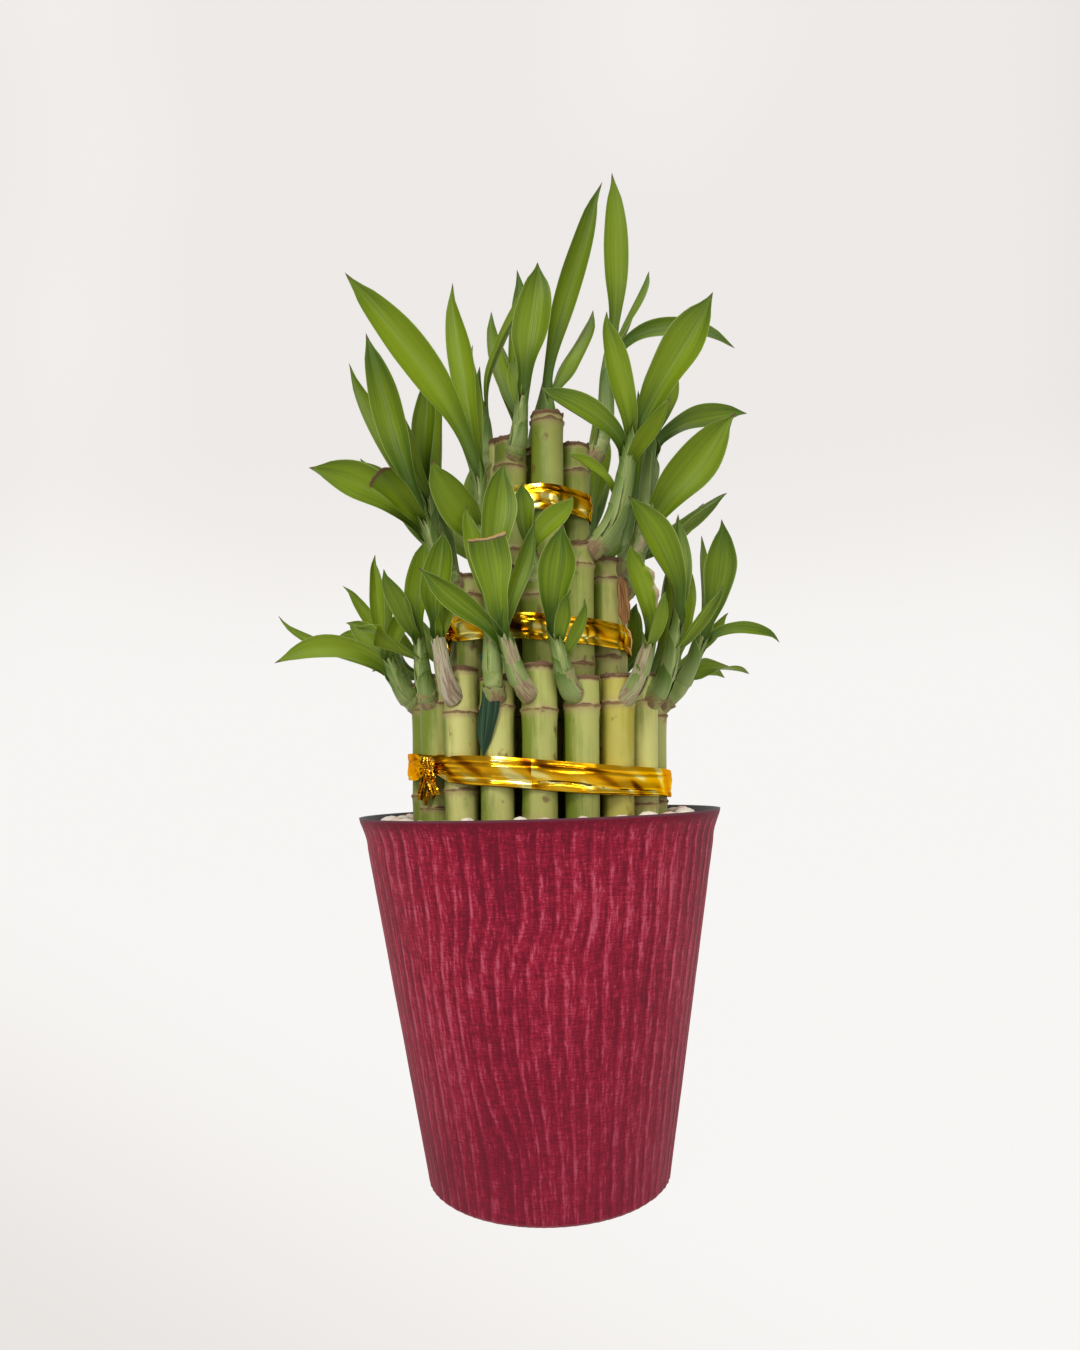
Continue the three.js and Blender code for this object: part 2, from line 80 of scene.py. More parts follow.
# From one knot down to the next
LOW_KNOT_GAPS = [33, 23.5, 38, 32, 28]
KNOT_GAPS = [27, 31, 25, 33, 29]
RIBBONS = {
    "low": dict(height=134, tilt=-0.07, width=9.4, knot=-50),
    "mid": dict(height=179.3, tilt=-0.06, width=8.6, knot=-75),
    "tall": dict(height=222.3, tilt=-0.02, width=8.8, knot=-75),
}

# The shoots, as in the model's source: the stem's tip, and for each leaf where on the stem it
# starts, its tip, its width, the way its face looks and how far its middle arches up. A last word
# says that its end is cut off, rolled up, or that one of its edges has withered.
SHOOTS = {
    ("low", -100): ((-50, 7, 176), [
        (0.5, (-89, 2, 188), 5, 30, -6),
        (0.8, (-66, 6, 200), 5, -20, 1),
        (1, (-53, 10, 203), 6, -30, 0),
        (0.7, (-72, 18, 184), 8, -70, 6),
    ]),
    ("low", -80): ((-49, -10, 172), [
        (0.7, (-84.5, -15, 170), 8, -10, 13),
        (1, (-54, -11, 206), 5.5, 0, 0),
        (0.95, (-40, -17, 192), 6.5, 10, 0),
        (0.85, (-63, -4, 186), 7.5, -20, 2),
    ]),
    ("low", -60): ((-37, -27, 176), [
        (1, (-34.5, -31, 206), 9, -15, 0),
        (0.8, (-48, -29, 197), 7, -40, 2),
        (0.6, (-55, -36, 178), 8, -60, 6),
    ]),
    ("low", -40): ((-30, -39, 175), [
        (1, (-27.5, -42, 205.5), 10.5, -10, 0),
        (0.9, (-26, -40, 188), 5, 10, 0),
    ]),
    ("low", -20): ((-13.5, -41.5, 188), [
        (1, (-10.5, -41, 226), 11, 5, 0),
        (0.75, (-22, -38, 214), 7, -20, 0),
    ]),
    ("low", 0): ((-10, -48, 174), [
        (1, (-14.5, -51.5, 201), 12, 0, 0, "cut"),
        (0.9, (-1.2, -47, 207), 6.5, 30, 0),
        (0.8, (-33.5, -51, 193.5), 8, -10, -2),
    ]),
    ("low", 20): ((4.5, -47, 174), [
        (1, (6.6, -53, 204.5), 12, 0, 0),
        (0.8, (8, -55, 185.5), 5, 10, 0),
        (0.6, (14, -48, 184), 4.5, 40, 0),
    ]),
    ("low", 40): ((33, -39, 173), [
        (1, (26, -44, 201), 9, 10, -1, "withered"),
        (0.7, (36, -50, 186), 6, 40, 1),
    ]),
    ("low", 60): ((43, -28, 181), [
        (1, (27, -41, 216), 12.5, 28, 3),
        (0.8, (44, -20, 216), 8.5, 35, 0),
        (0.5, (56, -34, 190), 7, 60, 3),
    ]),
    ("low", 80): ((53, -12, 178), [
        (1, (59.6, -18, 214.5), 11.5, 20, 0),
        (0.85, (55, -3, 213), 8, 70, 0),
        (0.9, (79, -10, 177.5), 5, 10, 8),
    ]),
    ("mid", -90): ((-37, 3, 228), [
        (1, (-37, 4, 271), 10, -20, 0),
        (0.85, (-48, 0, 262), 8.5, -40, 0),
        (0.7, (-62, 12, 244), 9, -80, 4),
    ]),
    ("mid", -60): ((-36, -18, 215), [
        (0.75, (-71.5, -22, 231), 13.5, -15, 5),
        (0.9, (-48.5, -30, 226), 11.5, -25, 0, "rolled"),
        (1, (-55, -14, 276.5), 11, -10, 0),
        (0.85, (-62.5, -6, 270), 7, -30, 0),
    ]),
    ("mid", -30): ((-18, -32, 224), [
        (1, (-56.5, -37, 284), 13, -5, 2),
        (0.35, (-31.5, -42, 226), 12.5, -10, 0),
        (0.72, (-21, -22, 269), 5, 10, 0),
        (0.9, (-27, -23, 287.5), 8.5, -15, 0),
    ]),
    ("mid", 0): ((-3, -32, 203), [
        (0.9, (11.5, -35, 217), 8, 10, 0),
        (1, (-5, -34.5, 222), 6.5, -10, 0),
    ]),
    ("mid", 30): ((30, -26, 238), [
        (0.95, (53.5, -34, 278.5), 14, 5, 0),
        (0.9, (20, -34, 273), 9, 0, 0),
        (0.75, (38.5, -42, 244), 6.5, 15, 0),
        (1, (42.5, -14, 276.5), 7, 35, 0),
        (0.55, (9, -33, 230.5), 4, 0, 5),
        (0.85, (1, -32, 251), 10, 5, 3),
    ]),
    ("mid", 60): ((37.5, -13, 240), [
        (0.35, (61.5, -21, 248), 15, 15, -1),
        (0.95, (70.5, 0, 255.5), 8, 30, 5),
        (1, (47, 2, 278), 9, 60, 0),
    ]),
    ("mid", 90): ((36, 6, 224), [
        (0.4, (66, 10, 232), 11, 90, 3),
        (0.75, (58, 18, 256), 11, 110, 2),
        (1, (38, 14, 266), 9.5, 90, 0),
    ]),
    ("tall", -105): ((-18, 3, 254), [
        (1, (-2.5, -4, 298), 7, -70, 0),
        (0.85, (-29, 9, 296), 9, -80, 0),
    ]),
    ("tall", -45): ((-4.5, -18, 254), [
        (1, (1, -20, 295.5), 12.5, -5, 0),
        (0.7, (-8, -15, 268), 5, -30, 0),
    ]),
    ("tall", 75): ((25, 2, 277), [
        (1, (26.5, -2, 335), 9, 10, 0),
        (0.9, (65.5, -6, 274), 7.5, 5, 16),
        (0.8, (40, 12, 310), 9, 100, 0),
    ]),
    ("tall", 135): ((4, 18, 265), [
        (1, (22, 11, 340.5), 9.5, 20, 0),
        (0.85, (22, 32, 306), 9, 140, 0),
    ]),
    ("tall", 195): ((-6, 21, 258), [
        (0.65, (-14, 42, 300), 9, -165, 3),
        (0.85, (-17, 28, 304), 10, -140, 0),
        (1, (-6, 26, 318), 9, 180, 0),
    ]),
}
# Start, outwards, side degrees, up, width and arch of each leaf of a shoot that isn't listed
PATTERNS = {
    "low": ((13, 17), [(0.6, 25, -6, 0, 9, 7), (0.85, 16, 6, 20, 10, 1), (1, 3, -3, 34, 9.5, 0)]),
    "mid": ((12, 34), [(0.4, 27, 7, 14, 12.5, 2), (0.75, 22, -8, 32, 12, 2), (1, 4, 3, 54, 11, 0)]),
}
PATTERN_SPREAD = 0.22
BARE = [("tall", 15), ("core", 0)]
SEED = 24

# How green or yellow the front canes are: 0 deep green, 1 olive yellow. The tone also turns each
# cane's painted highlight round it and sets how much of the highlight shows
CANE_TONES = {
    ("low", -80): 0.15, ("low", -60): 0.2, ("low", -40): 0.5, ("low", -20): 0.36,
    ("low", 0): 0.22, ("low", 20): 0.2, ("low", 40): 0.88, ("low", 60): 0.4, ("low", 80): 0.2,
    ("mid", -30): 0.15, ("mid", 0): 0.0, ("mid", 30): 0.1, ("mid", 60): 0.3, ("mid", -60): 0.25,
    ("tall", 15): 0.1, ("tall", -45): 0.05, ("tall", 75): 0.1, ("core", 0): 0.1,
}
# Dry sheaths left on the front shoots: where on the stem each starts and stops, its middle in
# degrees round the stem, how much of the stem it wraps, and its paleness
SHEATHS = {
    ("low", -60): [(0.12, 0.34, -20, 0.6, 0.3)],
    ("low", -40): [(0.18, 1.0, 5, 0.5, 0.75)],
    ("low", 0): [(0.2, 0.95, 15, 0.45, 0.5)],
    ("low", 20): [(0.2, 0.6, 40, 0.3, 0.4)],
    ("low", 40): [(0.16, 0.9, -30, 0.5, 0.55)],
    ("mid", 60): [(0.15, 0.4, 40, 0.45, 0.5)],
}
PLAIN_SHEATH = (0.1, 0.24, 0, 0.6, 0.1)
# Wilted strips of leaf that hang between the canes: four points, width, and whether it is dark
# (below 0) or rusty (above 1). A dark strip's darkness is painted shade, for the shadow it hangs in
WILTED = {
    ("low", -20): ([(-14, -41, 172), (-13.6, -42.2, 164), (-15, -42, 152), (-17, -39, 138)], 6.4, -0.6),
    ("mid", 60): ([(26, -17.6, 197), (27.2, -18.2, 191), (27.6, -18, 186), (26.8, -17.2, 180)], 4.2, 2.0),
}

MM = 0.001
to_scene = (
    Matrix.Scale(MM, 4)
    @ Matrix.Translation((0, 0, LEAN_PIVOT))
    @ Matrix.Rotation(LEAN, 4, "Y")
    @ Matrix.Translation((0, 0, -LEAN_PIVOT))
)
upright_to_scene = Matrix.Scale(MM, 4)


# Numbers

def make_random(seed):
    """A function that gives the same sequence of numbers from 0 to 1 on every run."""
    state = seed

    def draw():
        nonlocal state
        state = (state * 16807) % 2147483647
        return state / 2147483647

    return draw


def lerp(a, b, t):
    return a + (b - a) * t


def smooth(low, high, value):
    """0 below low, 1 above high and a soft step between."""
    t = min(1.0, max(0.0, (value - low) / (high - low)))
    return t * t * (3 - 2 * t)


def steps(count):
    """Even steps from 0 to 1."""
    return [k / count for k in range(count + 1)]


def bell(value):
    """1 at 0, falling away on both sides."""
    return math.exp(-(value**2))


def lumps(x, y, z):
    """Smooth noise, mostly between -0.5 and 0.5."""
    return noise.noise(Vector((x, y, z)))


def ring_lumps(angle, size, z):
    """Smooth noise that closes on itself round a ring."""
    return lumps(math.cos(angle) * size, math.sin(angle) * size, z)


def polar(radius, degrees, z):
    angle = math.radians(degrees)
    return Vector((radius * math.sin(angle), -radius * math.cos(angle), z))


def blade_place(turn):
    """Which side of a blade a place round its skin lies on, 1 in front or -1 behind, and how far
    across, from -1 to 1."""
    return (1, 1 - 4 * turn) if turn < 0.5 else (-1, 4 * turn - 3)


def linear(red, green, blue):
    """A colour from 0 to 255 as seen on a screen, as the shaders need it."""
    def channel(value):
        value /= 255
        return value / 12.92 if value <= 0.04045 else ((value + 0.055) / 1.055) ** 2.4

    return (channel(red), channel(green), channel(blue), 1.0)


# Meshes

# Vertices nearer than this are joined: in a skin, and where a cap runs to a point
SEAM = 0.002
CAP_POINT = 0.1
# Faces smaller than this are dropped
SLIVER = 1e-7


def faces_of(verts):
    return {face for vert in verts for face in vert.link_faces}


def add_object(name, data):
    """Puts a mesh, light or camera in the scene."""
    made = bpy.data.objects.new(name, data)
    bpy.context.scene.collection.objects.link(made)
    return made


class Body:
    """One piece's mesh as it grows: closed skins, each wrapped from a grid."""

    def __init__(self):
        self.mesh = bmesh.new()
        self.uv = self.mesh.loops.layers.uv.new("UVMap")
        self.tone = self.mesh.verts.layers.float.new("tone")
        self.mark = self.mesh.verts.layers.float.new("mark")

    def skin(self, stations, around, place, material=0, tone=0.0, blade=False):
        """Wraps a grid into a closed skin. place(turn, station) gives a point and its mark, with
        turn from 0 to 1 round the skin. A blade's two sides are split along the same diagonals, so
        that they never cross."""
        rows = len(stations) - 1
        verts = bmesh.ops.create_grid(self.mesh, x_segments=around, y_segments=rows, size=1)["verts"]
        faces = faces_of(verts)
        if blade:
            for half, method in ((-1, "FIXED"), (1, "ALTERNATE")):
                chosen = [face for face in faces if face.calc_center_median().x * half > 0]
                bmesh.ops.triangulate(self.mesh, faces=chosen, quad_method=method)
                faces.difference_update(chosen)
            faces = faces_of(verts)
        for face in faces:
            face.material_index = material
            face.smooth = True
            for loop in face.loops:
                spot = loop.vert.co
                row = round((spot.y + 1) / 2 * rows)
                loop[self.uv].uv = ((spot.x + 1) / 2, stations[row])
        for vert in verts:
            turn = (vert.co.x + 1) / 2
            row = round((vert.co.y + 1) / 2 * rows)
            vert.co, vert[self.mark] = place(turn, stations[row])
            vert[self.tone] = tone
        bmesh.ops.remove_doubles(self.mesh, verts=verts, dist=SEAM)

    def open_edges(self):
        return [edge for edge in self.mesh.edges if edge.is_boundary]

    def extrude(self, edges, material):
        """Extrudes an open edge in place, and gives the new open edge and its vertices."""
        made = bmesh.ops.extrude_edge_only(self.mesh, edges=edges)["geom"]
        edges = [item for item in made if isinstance(item, bmesh.types.BMEdge) and item.is_boundary]
        verts = [item for item in made if isinstance(item, bmesh.types.BMVert)]
        for face in faces_of(verts):
            face.material_index = material
            face.smooth = True
        return edges, verts

    def fill_holes(self):
        bmesh.ops.holes_fill(self.mesh, edges=self.open_edges(), sides=0)

    def finish(self, name, materials, node, slot, transform=to_scene, sharp=50):
        """Makes the object, which stands for a node and rides on the row's one body."""
        slivers = [face for face in self.mesh.faces if face.calc_area() < SLIVER]
        bmesh.ops.delete(self.mesh, geom=slivers, context="FACES_ONLY")
        bmesh.ops.recalc_face_normals(self.mesh, faces=self.mesh.faces)
        bmesh.ops.transform(self.mesh, matrix=transform, verts=self.mesh.verts)
        mesh = bpy.data.meshes.new(name)
        self.mesh.to_mesh(mesh)
        self.mesh.free()
        mesh.set_sharp_from_angle(angle=math.radians(sharp))
        for material in materials:
            mesh.materials.append(material)
        piece = add_object(name, mesh)
        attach(piece, "root")
        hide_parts(node)


class Curve:
    """A cubic Bezier curve."""

    def __init__(self, *points):
        self.points = [Vector(point) for point in points]

    def at(self, t):
        a, b, c, d = self.points
        s = 1 - t
        return a * s**3 + b * (3 * s * s * t) + c * (3 * s * t * t) + d * t**3

    def along(self, t):
        a, b, c, d = self.points
        s = 1 - t
        return ((b - a) * s * s + (c - b) * (2 * s * t) + (d - c) * t * t).normalized()


# Shaders

class Wire:
    """A socket whose arithmetic adds Math nodes."""

    def __init__(self, graph, socket):
        self.graph = graph
        self.socket = socket

    def math(self, operation, *values):
        return self.graph.add("ShaderNodeMath", {"operation": operation}, dict(enumerate(values)))

    def __add__(self, other):
        return self.math("ADD", self, other)

    __radd__ = __add__

    def __sub__(self, other):
        return self.math("SUBTRACT", self, other)

    def __rsub__(self, other):
        return self.math("SUBTRACT", other, self)

    def __mul__(self, other):
        return self.math("MULTIPLY", self, other)

    __rmul__ = __mul__

    def __truediv__(self, other):
        return self.math("DIVIDE", self, other)

    def __rtruediv__(self, other):
        return self.math("DIVIDE", other, self)

    def __abs__(self):
        return self.math("ABSOLUTE", self)

    def cosine(self):
        return self.math("COSINE", self)

    def step(self, low, high):
        """0 below low, 1 above high and a soft step between."""
        settings = {"interpolation_type": "SMOOTHSTEP"}
        return self.graph.add("ShaderNodeMapRange", settings, {0: self, 1: low, 2: high})


class Graph:
    """A material's node tree."""

    def __init__(self, name):
        self.material = bpy.data.materials.new(name)
        self.material.use_nodes = True
        self.tree = self.material.node_tree
        self.tree.nodes.clear()

    def add(self, kind, settings=None, inputs=None, output=0):
        """Adds a node: its settings first, then the values or links of its sockets."""
        node = self.tree.nodes.new(kind)
        for name, value in (settings or {}).items():
            setattr(node, name, value)
        for key, value in (inputs or {}).items():
            if isinstance(value, Wire):
                self.tree.links.new(value.socket, node.inputs[key])
            else:
                node.inputs[key].default_value = value
        return Wire(self, node.outputs[output]) if len(node.outputs) else None

    def place(self, scale=(1, 1, 1)):
        """Object coordinates in metres, scaled."""
        vector = self.add("ShaderNodeTexCoord", output=3)
        return self.add("ShaderNodeMapping", {}, {0: vector, "Scale": scale})

    def split(self, vector):
        """The three numbers of a vector."""
        node = self.add("ShaderNodeSeparateXYZ", {}, {0: vector}).socket.node
        return [Wire(self, output) for output in node.outputs]

    def uv(self):
        """The across and along numbers of the piece's own UV map."""
        return self.split(self.add("ShaderNodeUVMap", {"uv_map": "UVMap"}))[:2]

    def flow(self, across, along, seed=0.0):
        """Numbers across and along a piece as a place for a noise that follows its surface."""
        return self.add("ShaderNodeCombineXYZ", {}, {0: across, 1: along, 2: seed})

    def attribute(self, name):
        return self.add("ShaderNodeAttribute", {"attribute_name": name}, output=2)

    def noise(self, vector, scale, detail=3.0, rough=0.55, distortion=0.0):
        inputs = {
            "Vector": vector, "Scale": scale, "Detail": detail, "Roughness": rough, "Distortion": distortion,
        }
        return self.add("ShaderNodeTexNoise", {}, inputs)

    def mix(self, factor, under, over):
        """One colour over another, by factor."""
        return self.add("ShaderNodeMix", {"data_type": "RGBA"}, {0: factor, 6: under, 7: over}, output=2)

    def layers(self, look, *coats):
        """A colour under coats, each given by its amount and its colour."""
        for amount, coat in coats:
            look = self.mix(amount, look, coat)
        return look

    def ramp(self, factor, *stops):
        """A colour by a number, with stops that each have a place and a colour."""
        ramp = self.add("ShaderNodeValToRGB", {}, {0: factor})
        elements = ramp.socket.node.color_ramp.elements
        for index, (position, look) in enumerate(stops):
            stop = elements[index] if index < 2 else elements.new(position)
            stop.position = position
            stop.color = look
        return ramp

    def bump(self, height, strength, distance):
        inputs = {"Strength": strength, "Distance": distance, "Height": height}
        return self.add("ShaderNodeBump", {}, inputs)

    def finish(self, look, rough, relief=None, **inputs):
        """The surface by its colour, roughness and relief, with more inputs of the Principled
        shader, whose names have underscores for spaces."""
        sockets = {name.replace("_", " "): value for name, value in inputs.items()}
        sockets.update({"Base Color": look, "Roughness": rough})
        if relief:
            sockets["Normal"] = relief
        surface = self.add("ShaderNodeBsdfPrincipled", {}, sockets)
        self.add("ShaderNodeOutputMaterial", {}, {0: surface})
        return self.material


# Settings

def colour(name, what, *value):
    """A colour, by its three numbers from 0 to 255 as seen on a screen."""
    return FloatVectorProperty(
        name=name, description=f"Colour of {what}", default=linear(*value), subtype="COLOR", size=4,
        min=0, max=1,
    )


def length(name, description, value):
    return FloatProperty(
        name=name, description=description, default=value, unit="LENGTH", subtype="DISTANCE",
    )


class PotSettings(bpy.types.PropertyGroup):
    """The wood-grain pot."""

    ribs: IntProperty(name="Ribs", description="Grain lines round the pot", default=66, min=20)
    relief: length("Relief", "Depth of the grain", 0.00032)
    body: colour("Body", "the pot between its grain lines", 162, 28, 56)
    ridge: colour("Ridge", "the worn grain lines", 192, 92, 114)
    # Valley also paints the shade over the lower part of the pot, darker towards the bottom
    valley: colour("Valley", "the weave and the grooves beside the grain lines", 104, 14, 36)
    edge: colour("Edge", "the thin rim", 100, 56, 68)


class CaneSettings(bpy.types.PropertyGroup):
    """The canes and their dry remains."""

    # Pale paints the highlight on one side of each cane, and green is the cane's own colour, also laid as
    # painted shade on the other side
    pale: colour("Pale", "the pale side of a cane", 208, 206, 124)
    green: colour("Green", "the green side of a cane", 118, 134, 40)
    olive: colour("Olive", "an olive cane", 178, 162, 44)
    scar: colour("Scar", "the rings at the knots", 120, 88, 60)
    dry: colour("Dry", "dry sheaths", 184, 156, 124)


class LeafSettings(bpy.types.PropertyGroup):
    """The leaves."""

    # Blade carries the painted highlight across a leaf's middle, and shade the painted shade towards its
    # edges as well as the darker tone of some leaves
    blade: colour("Blade", "a leaf's middle", 124, 146, 14)
    shade: colour("Shade", "a leaf's darker parts", 56, 86, 6)
    base: colour("Base", "a leaf's narrow lower part", 92, 118, 50)
    clasp: colour("Clasp", "the part that clasps the stem", 146, 162, 98)
    margin: colour("Margin", "the thin edge", 172, 188, 104)
    thickness: length("Thickness", "Thickness of a blade", 0.0006)


class FoilSettings(bpy.types.PropertyGroup):
    """The foil ribbons."""

    gold: colour("Gold", "the foil", 232, 166, 14)
    shadow: colour("Shadow", "its dark reflections", 104, 54, 5)
    glint: colour("Glint", "its bright reflections", 255, 240, 140)
    crease: length("Crease", "Depth of the creases", 0.00014)


class PebbleSettings(bpy.types.PropertyGroup):
    """The stones on the soil."""

    stones: IntProperty(name="Stones", description="Stones in each ring", default=44, min=10)
    cream: colour("Cream", "the stones", 236, 224, 208)
    pink: colour("Pink", "some of the stones", 222, 190, 176)


class StageSettings(bpy.types.PropertyGroup):
    """The camera, lights and floor."""

    distance: length("Distance", "From the pot's axis to the camera", 0.321)
    eye: length("Eye height", "Height of the camera", 0.1329)
    lens: FloatProperty(
        name="Lens", description="Focal length on a 36 mm long side", default=25.49, unit="CAMERA",
    )
    roll: FloatProperty(
        name="Roll", description="How far the camera is turned", default=math.radians(1.66),
        unit="ROTATION", subtype="ANGLE",
    )
    floor: colour("Floor", "the floor and backdrop", 247, 245, 243)
    # Haze also paints the shade over the floor's near left corner
    haze: colour("Haze", "its faint clouds", 232, 228, 225)
    light: FloatProperty(name="Light", description="Strength of all the lights", default=1.0, min=0)


# Materials

def pot_material(settings):
    g = Graph("pot_grain")
    grain = g.attribute("mark")
    height = g.attribute("tone")
    streak = g.noise(g.place((1, 1, 0.08)), 1150, 3, 0.65)
    scratch = g.noise(g.place((0.12, 0.12, 1)), 2300, 2, 0.6)
    speck = g.noise(g.place(), 2300, 2, 0.7)
    patch = g.noise(g.place((1, 1, 0.5)), 42, 4, 0.65)
    weave = streak * 0.4 + scratch * 0.3 + speck * 0.3
    shade = grain + (weave - 0.5) * 4.0 + (patch - 0.5) * 1.2
    rub = grain + (streak - 0.5) * 1.3 + (weave - 0.5) * 3.0 + (patch - 0.5) * 1.1
    look = g.layers(
        settings.valley,
        (shade.step(-0.1, 0.85), settings.body),
        (rub.step(0.5, 1.3) * 0.8, settings.ridge),
        ((0.5 - speck).step(0.15, 0.25) * 0.6, linear(66, 10, 26)),
        # Painted shade: the valley colour laid over the lower part of the pot, darker towards the bottom
        ((0.8 - height).step(0.0, 0.8) * 0.45, settings.valley),
        ((height + (patch - 0.5) * 0.1).step(0.95, 0.99) * 0.35, settings.valley),
        (height.step(0.992, 0.998), settings.edge),
    )
    rough = 0.55 + (weave - 0.5) * 0.5
    return g.finish(look, rough, g.bump(weave, 0.8, 0.0004), Specular_IOR_Level=0.13)


def pot_inside_material():
    g = Graph("pot_inside")
    cloud = g.noise(g.place(), 120, 3)
    look = g.mix(cloud, linear(30, 26, 30), linear(52, 44, 50))
    return g.finish(look, 0.5 + cloud * 0.1, g.bump(cloud, 0.2, 0.0005))


def soil_material():
    g = Graph("moist_soil")
    crumb = g.noise(g.place(), 420, 5, 0.7)
    look = g.ramp(crumb, (0.3, linear(22, 15, 10)), (0.55, linear(50, 36, 25)), (0.75, linear(86, 66, 48)))
    return g.finish(look, 0.95, g.bump(crumb, 0.9, 0.002))


def pebble_material(settings):
    g = Graph("white_pebble")
    tone = g.attribute("tone")
    cloud = g.noise(g.place(), 260, 4, 0.6)
    grain = g.noise(g.place(), 2600, 2, 0.6)
    look = g.layers(
        settings.cream,
        ((tone + (cloud - 0.5) * 0.8).step(0.35, 0.95), settings.pink),
        ((0.42 - cloud).step(0.0, 0.12) * 0.5, linear(178, 150, 130)),
    )
    return g.finish(look, 0.5 + grain * 0.2, g.bump(grain * 0.5 + cloud, 0.25, 0.0004))


def cane_material(settings):
    g = Graph("cane_skin")
    tone = g.attribute("tone")
    knot = g.attribute("mark")
    streak = g.noise(g.place((1, 1, 0.07)), 620, 4, 0.6)
    cloud = g.noise(g.place((1, 1, 0.5)), 75, 4, 0.6)
    spot = g.noise(g.place((1, 1, 0.7)), 240, 2, 0.5)
    turn, _ = g.uv()
    # Painted light and shade: a pale painted highlight on one side of each cane, turned by its tone, and
    # green painted shade on the other, mixed with random mottling
    lit_and_mottle = (turn * math.tau - 0.5 + (tone - 0.4) * 1.6).cosine()
    lit_and_mottle = (lit_and_mottle + (cloud - 0.5) * 2.0 + (streak - 0.5) * 1.4).step(-0.1, 1.0)
    scarred = knot + (streak - 0.5) * 1.3 + (cloud - 0.5) * 1.2
    look = g.layers(
        settings.green,
        (lit_and_mottle * (0.35 + tone.step(0.0, 0.5) * 0.65), settings.pale),
        (tone.step(0.6, 0.95) * (1 - lit_and_mottle * 0.3), settings.olive),
        ((knot + (cloud - 0.5) * 0.3).step(0.04, 0.3) * 0.5, linear(180, 154, 112)),
        (scarred.step(0.45, 0.9) * 0.85, settings.scar),
        ((spot - 0.5 + (cloud - 0.5) * 0.15).step(0.13, 0.24) * 0.75, linear(112, 76, 44)),
    )
    rough = 0.38 + streak * 0.2 + knot * 0.25
    return g.finish(look, rough, g.bump(streak * 0.5 + knot, 0.3, 0.0004), Specular_IOR_Level=0.35)


def cut_material(settings):
    g = Graph("cut_top")
    mark = g.attribute("mark")
    fibre = g.noise(g.place(), 1500, 3, 0.7)
    look = g.layers(
        linear(150, 128, 92),
        (fibre, linear(206, 192, 146)),
        ((mark + (fibre - 0.5) * 0.7).step(0.5, 0.9), settings.scar),
    )
    return g.finish(look, 0.8, g.bump(fibre, 0.6, 0.0006))


def dry_material(settings):
    g = Graph("dry_sheath")
    tone = g.attribute("tone")
    turn, along = g.uv()
    fibre = g.noise(g.flow(turn * 70, along * 2.5, tone * 9), 1, 3, 0.6)
    stain = g.noise(g.flow(turn * 13, along * 1.6, tone * 7), 1, 4, 0.65)
    worn = stain + (fibre - 0.5) * 0.35 + (0.5 - tone) * 0.1 - along * 0.06
    collar = g.mix(fibre.step(0.35, 0.65), settings.scar, linear(160, 126, 100))
    look = g.layers(
        linear(156, 154, 98),
        (tone.step(0.3, 0.8), linear(198, 190, 164)),
        (fibre.step(0.42, 0.66) * 0.5, settings.dry),
        (worn.step(0.44, 0.58) * 0.8, linear(138, 104, 82)),
        ((0.48 - stain).step(0.0, 0.08) * 0.75, linear(146, 160, 92)),
        ((0 - tone).step(-0.1, 0.0), collar),
    )
    return g.finish(look, 0.75, g.bump(fibre, 0.7, 0.0005), Specular_IOR_Level=0.25)


def stem_material(settings, canes):
    g = Graph("shoot_stem")
    ring = g.attribute("mark")
    _, along = g.uv()
    fibre = g.noise(g.place((1, 1, 0.2)), 500, 3, 0.6)
    cloud = g.noise(g.place(), 160, 3, 0.6)
    brown = 0.22 - along + (cloud - 0.5) * 0.5 + (fibre - 0.5) * 0.5
    look = g.layers(
        linear(124, 144, 66),
        (cloud.step(0.35, 0.65), linear(160, 172, 104)),
        (fibre.step(0.45, 0.75) * 0.4, settings.clasp),
        ((ring + (fibre - 0.5) * 0.6).step(0.6, 1.0) * 0.6, canes.dry),
        (brown.step(0.0, 0.12) * 0.8, canes.scar),
    )
    return g.finish(look, 0.42 + fibre * 0.15, g.bump(fibre + ring, 0.3, 0.0004))


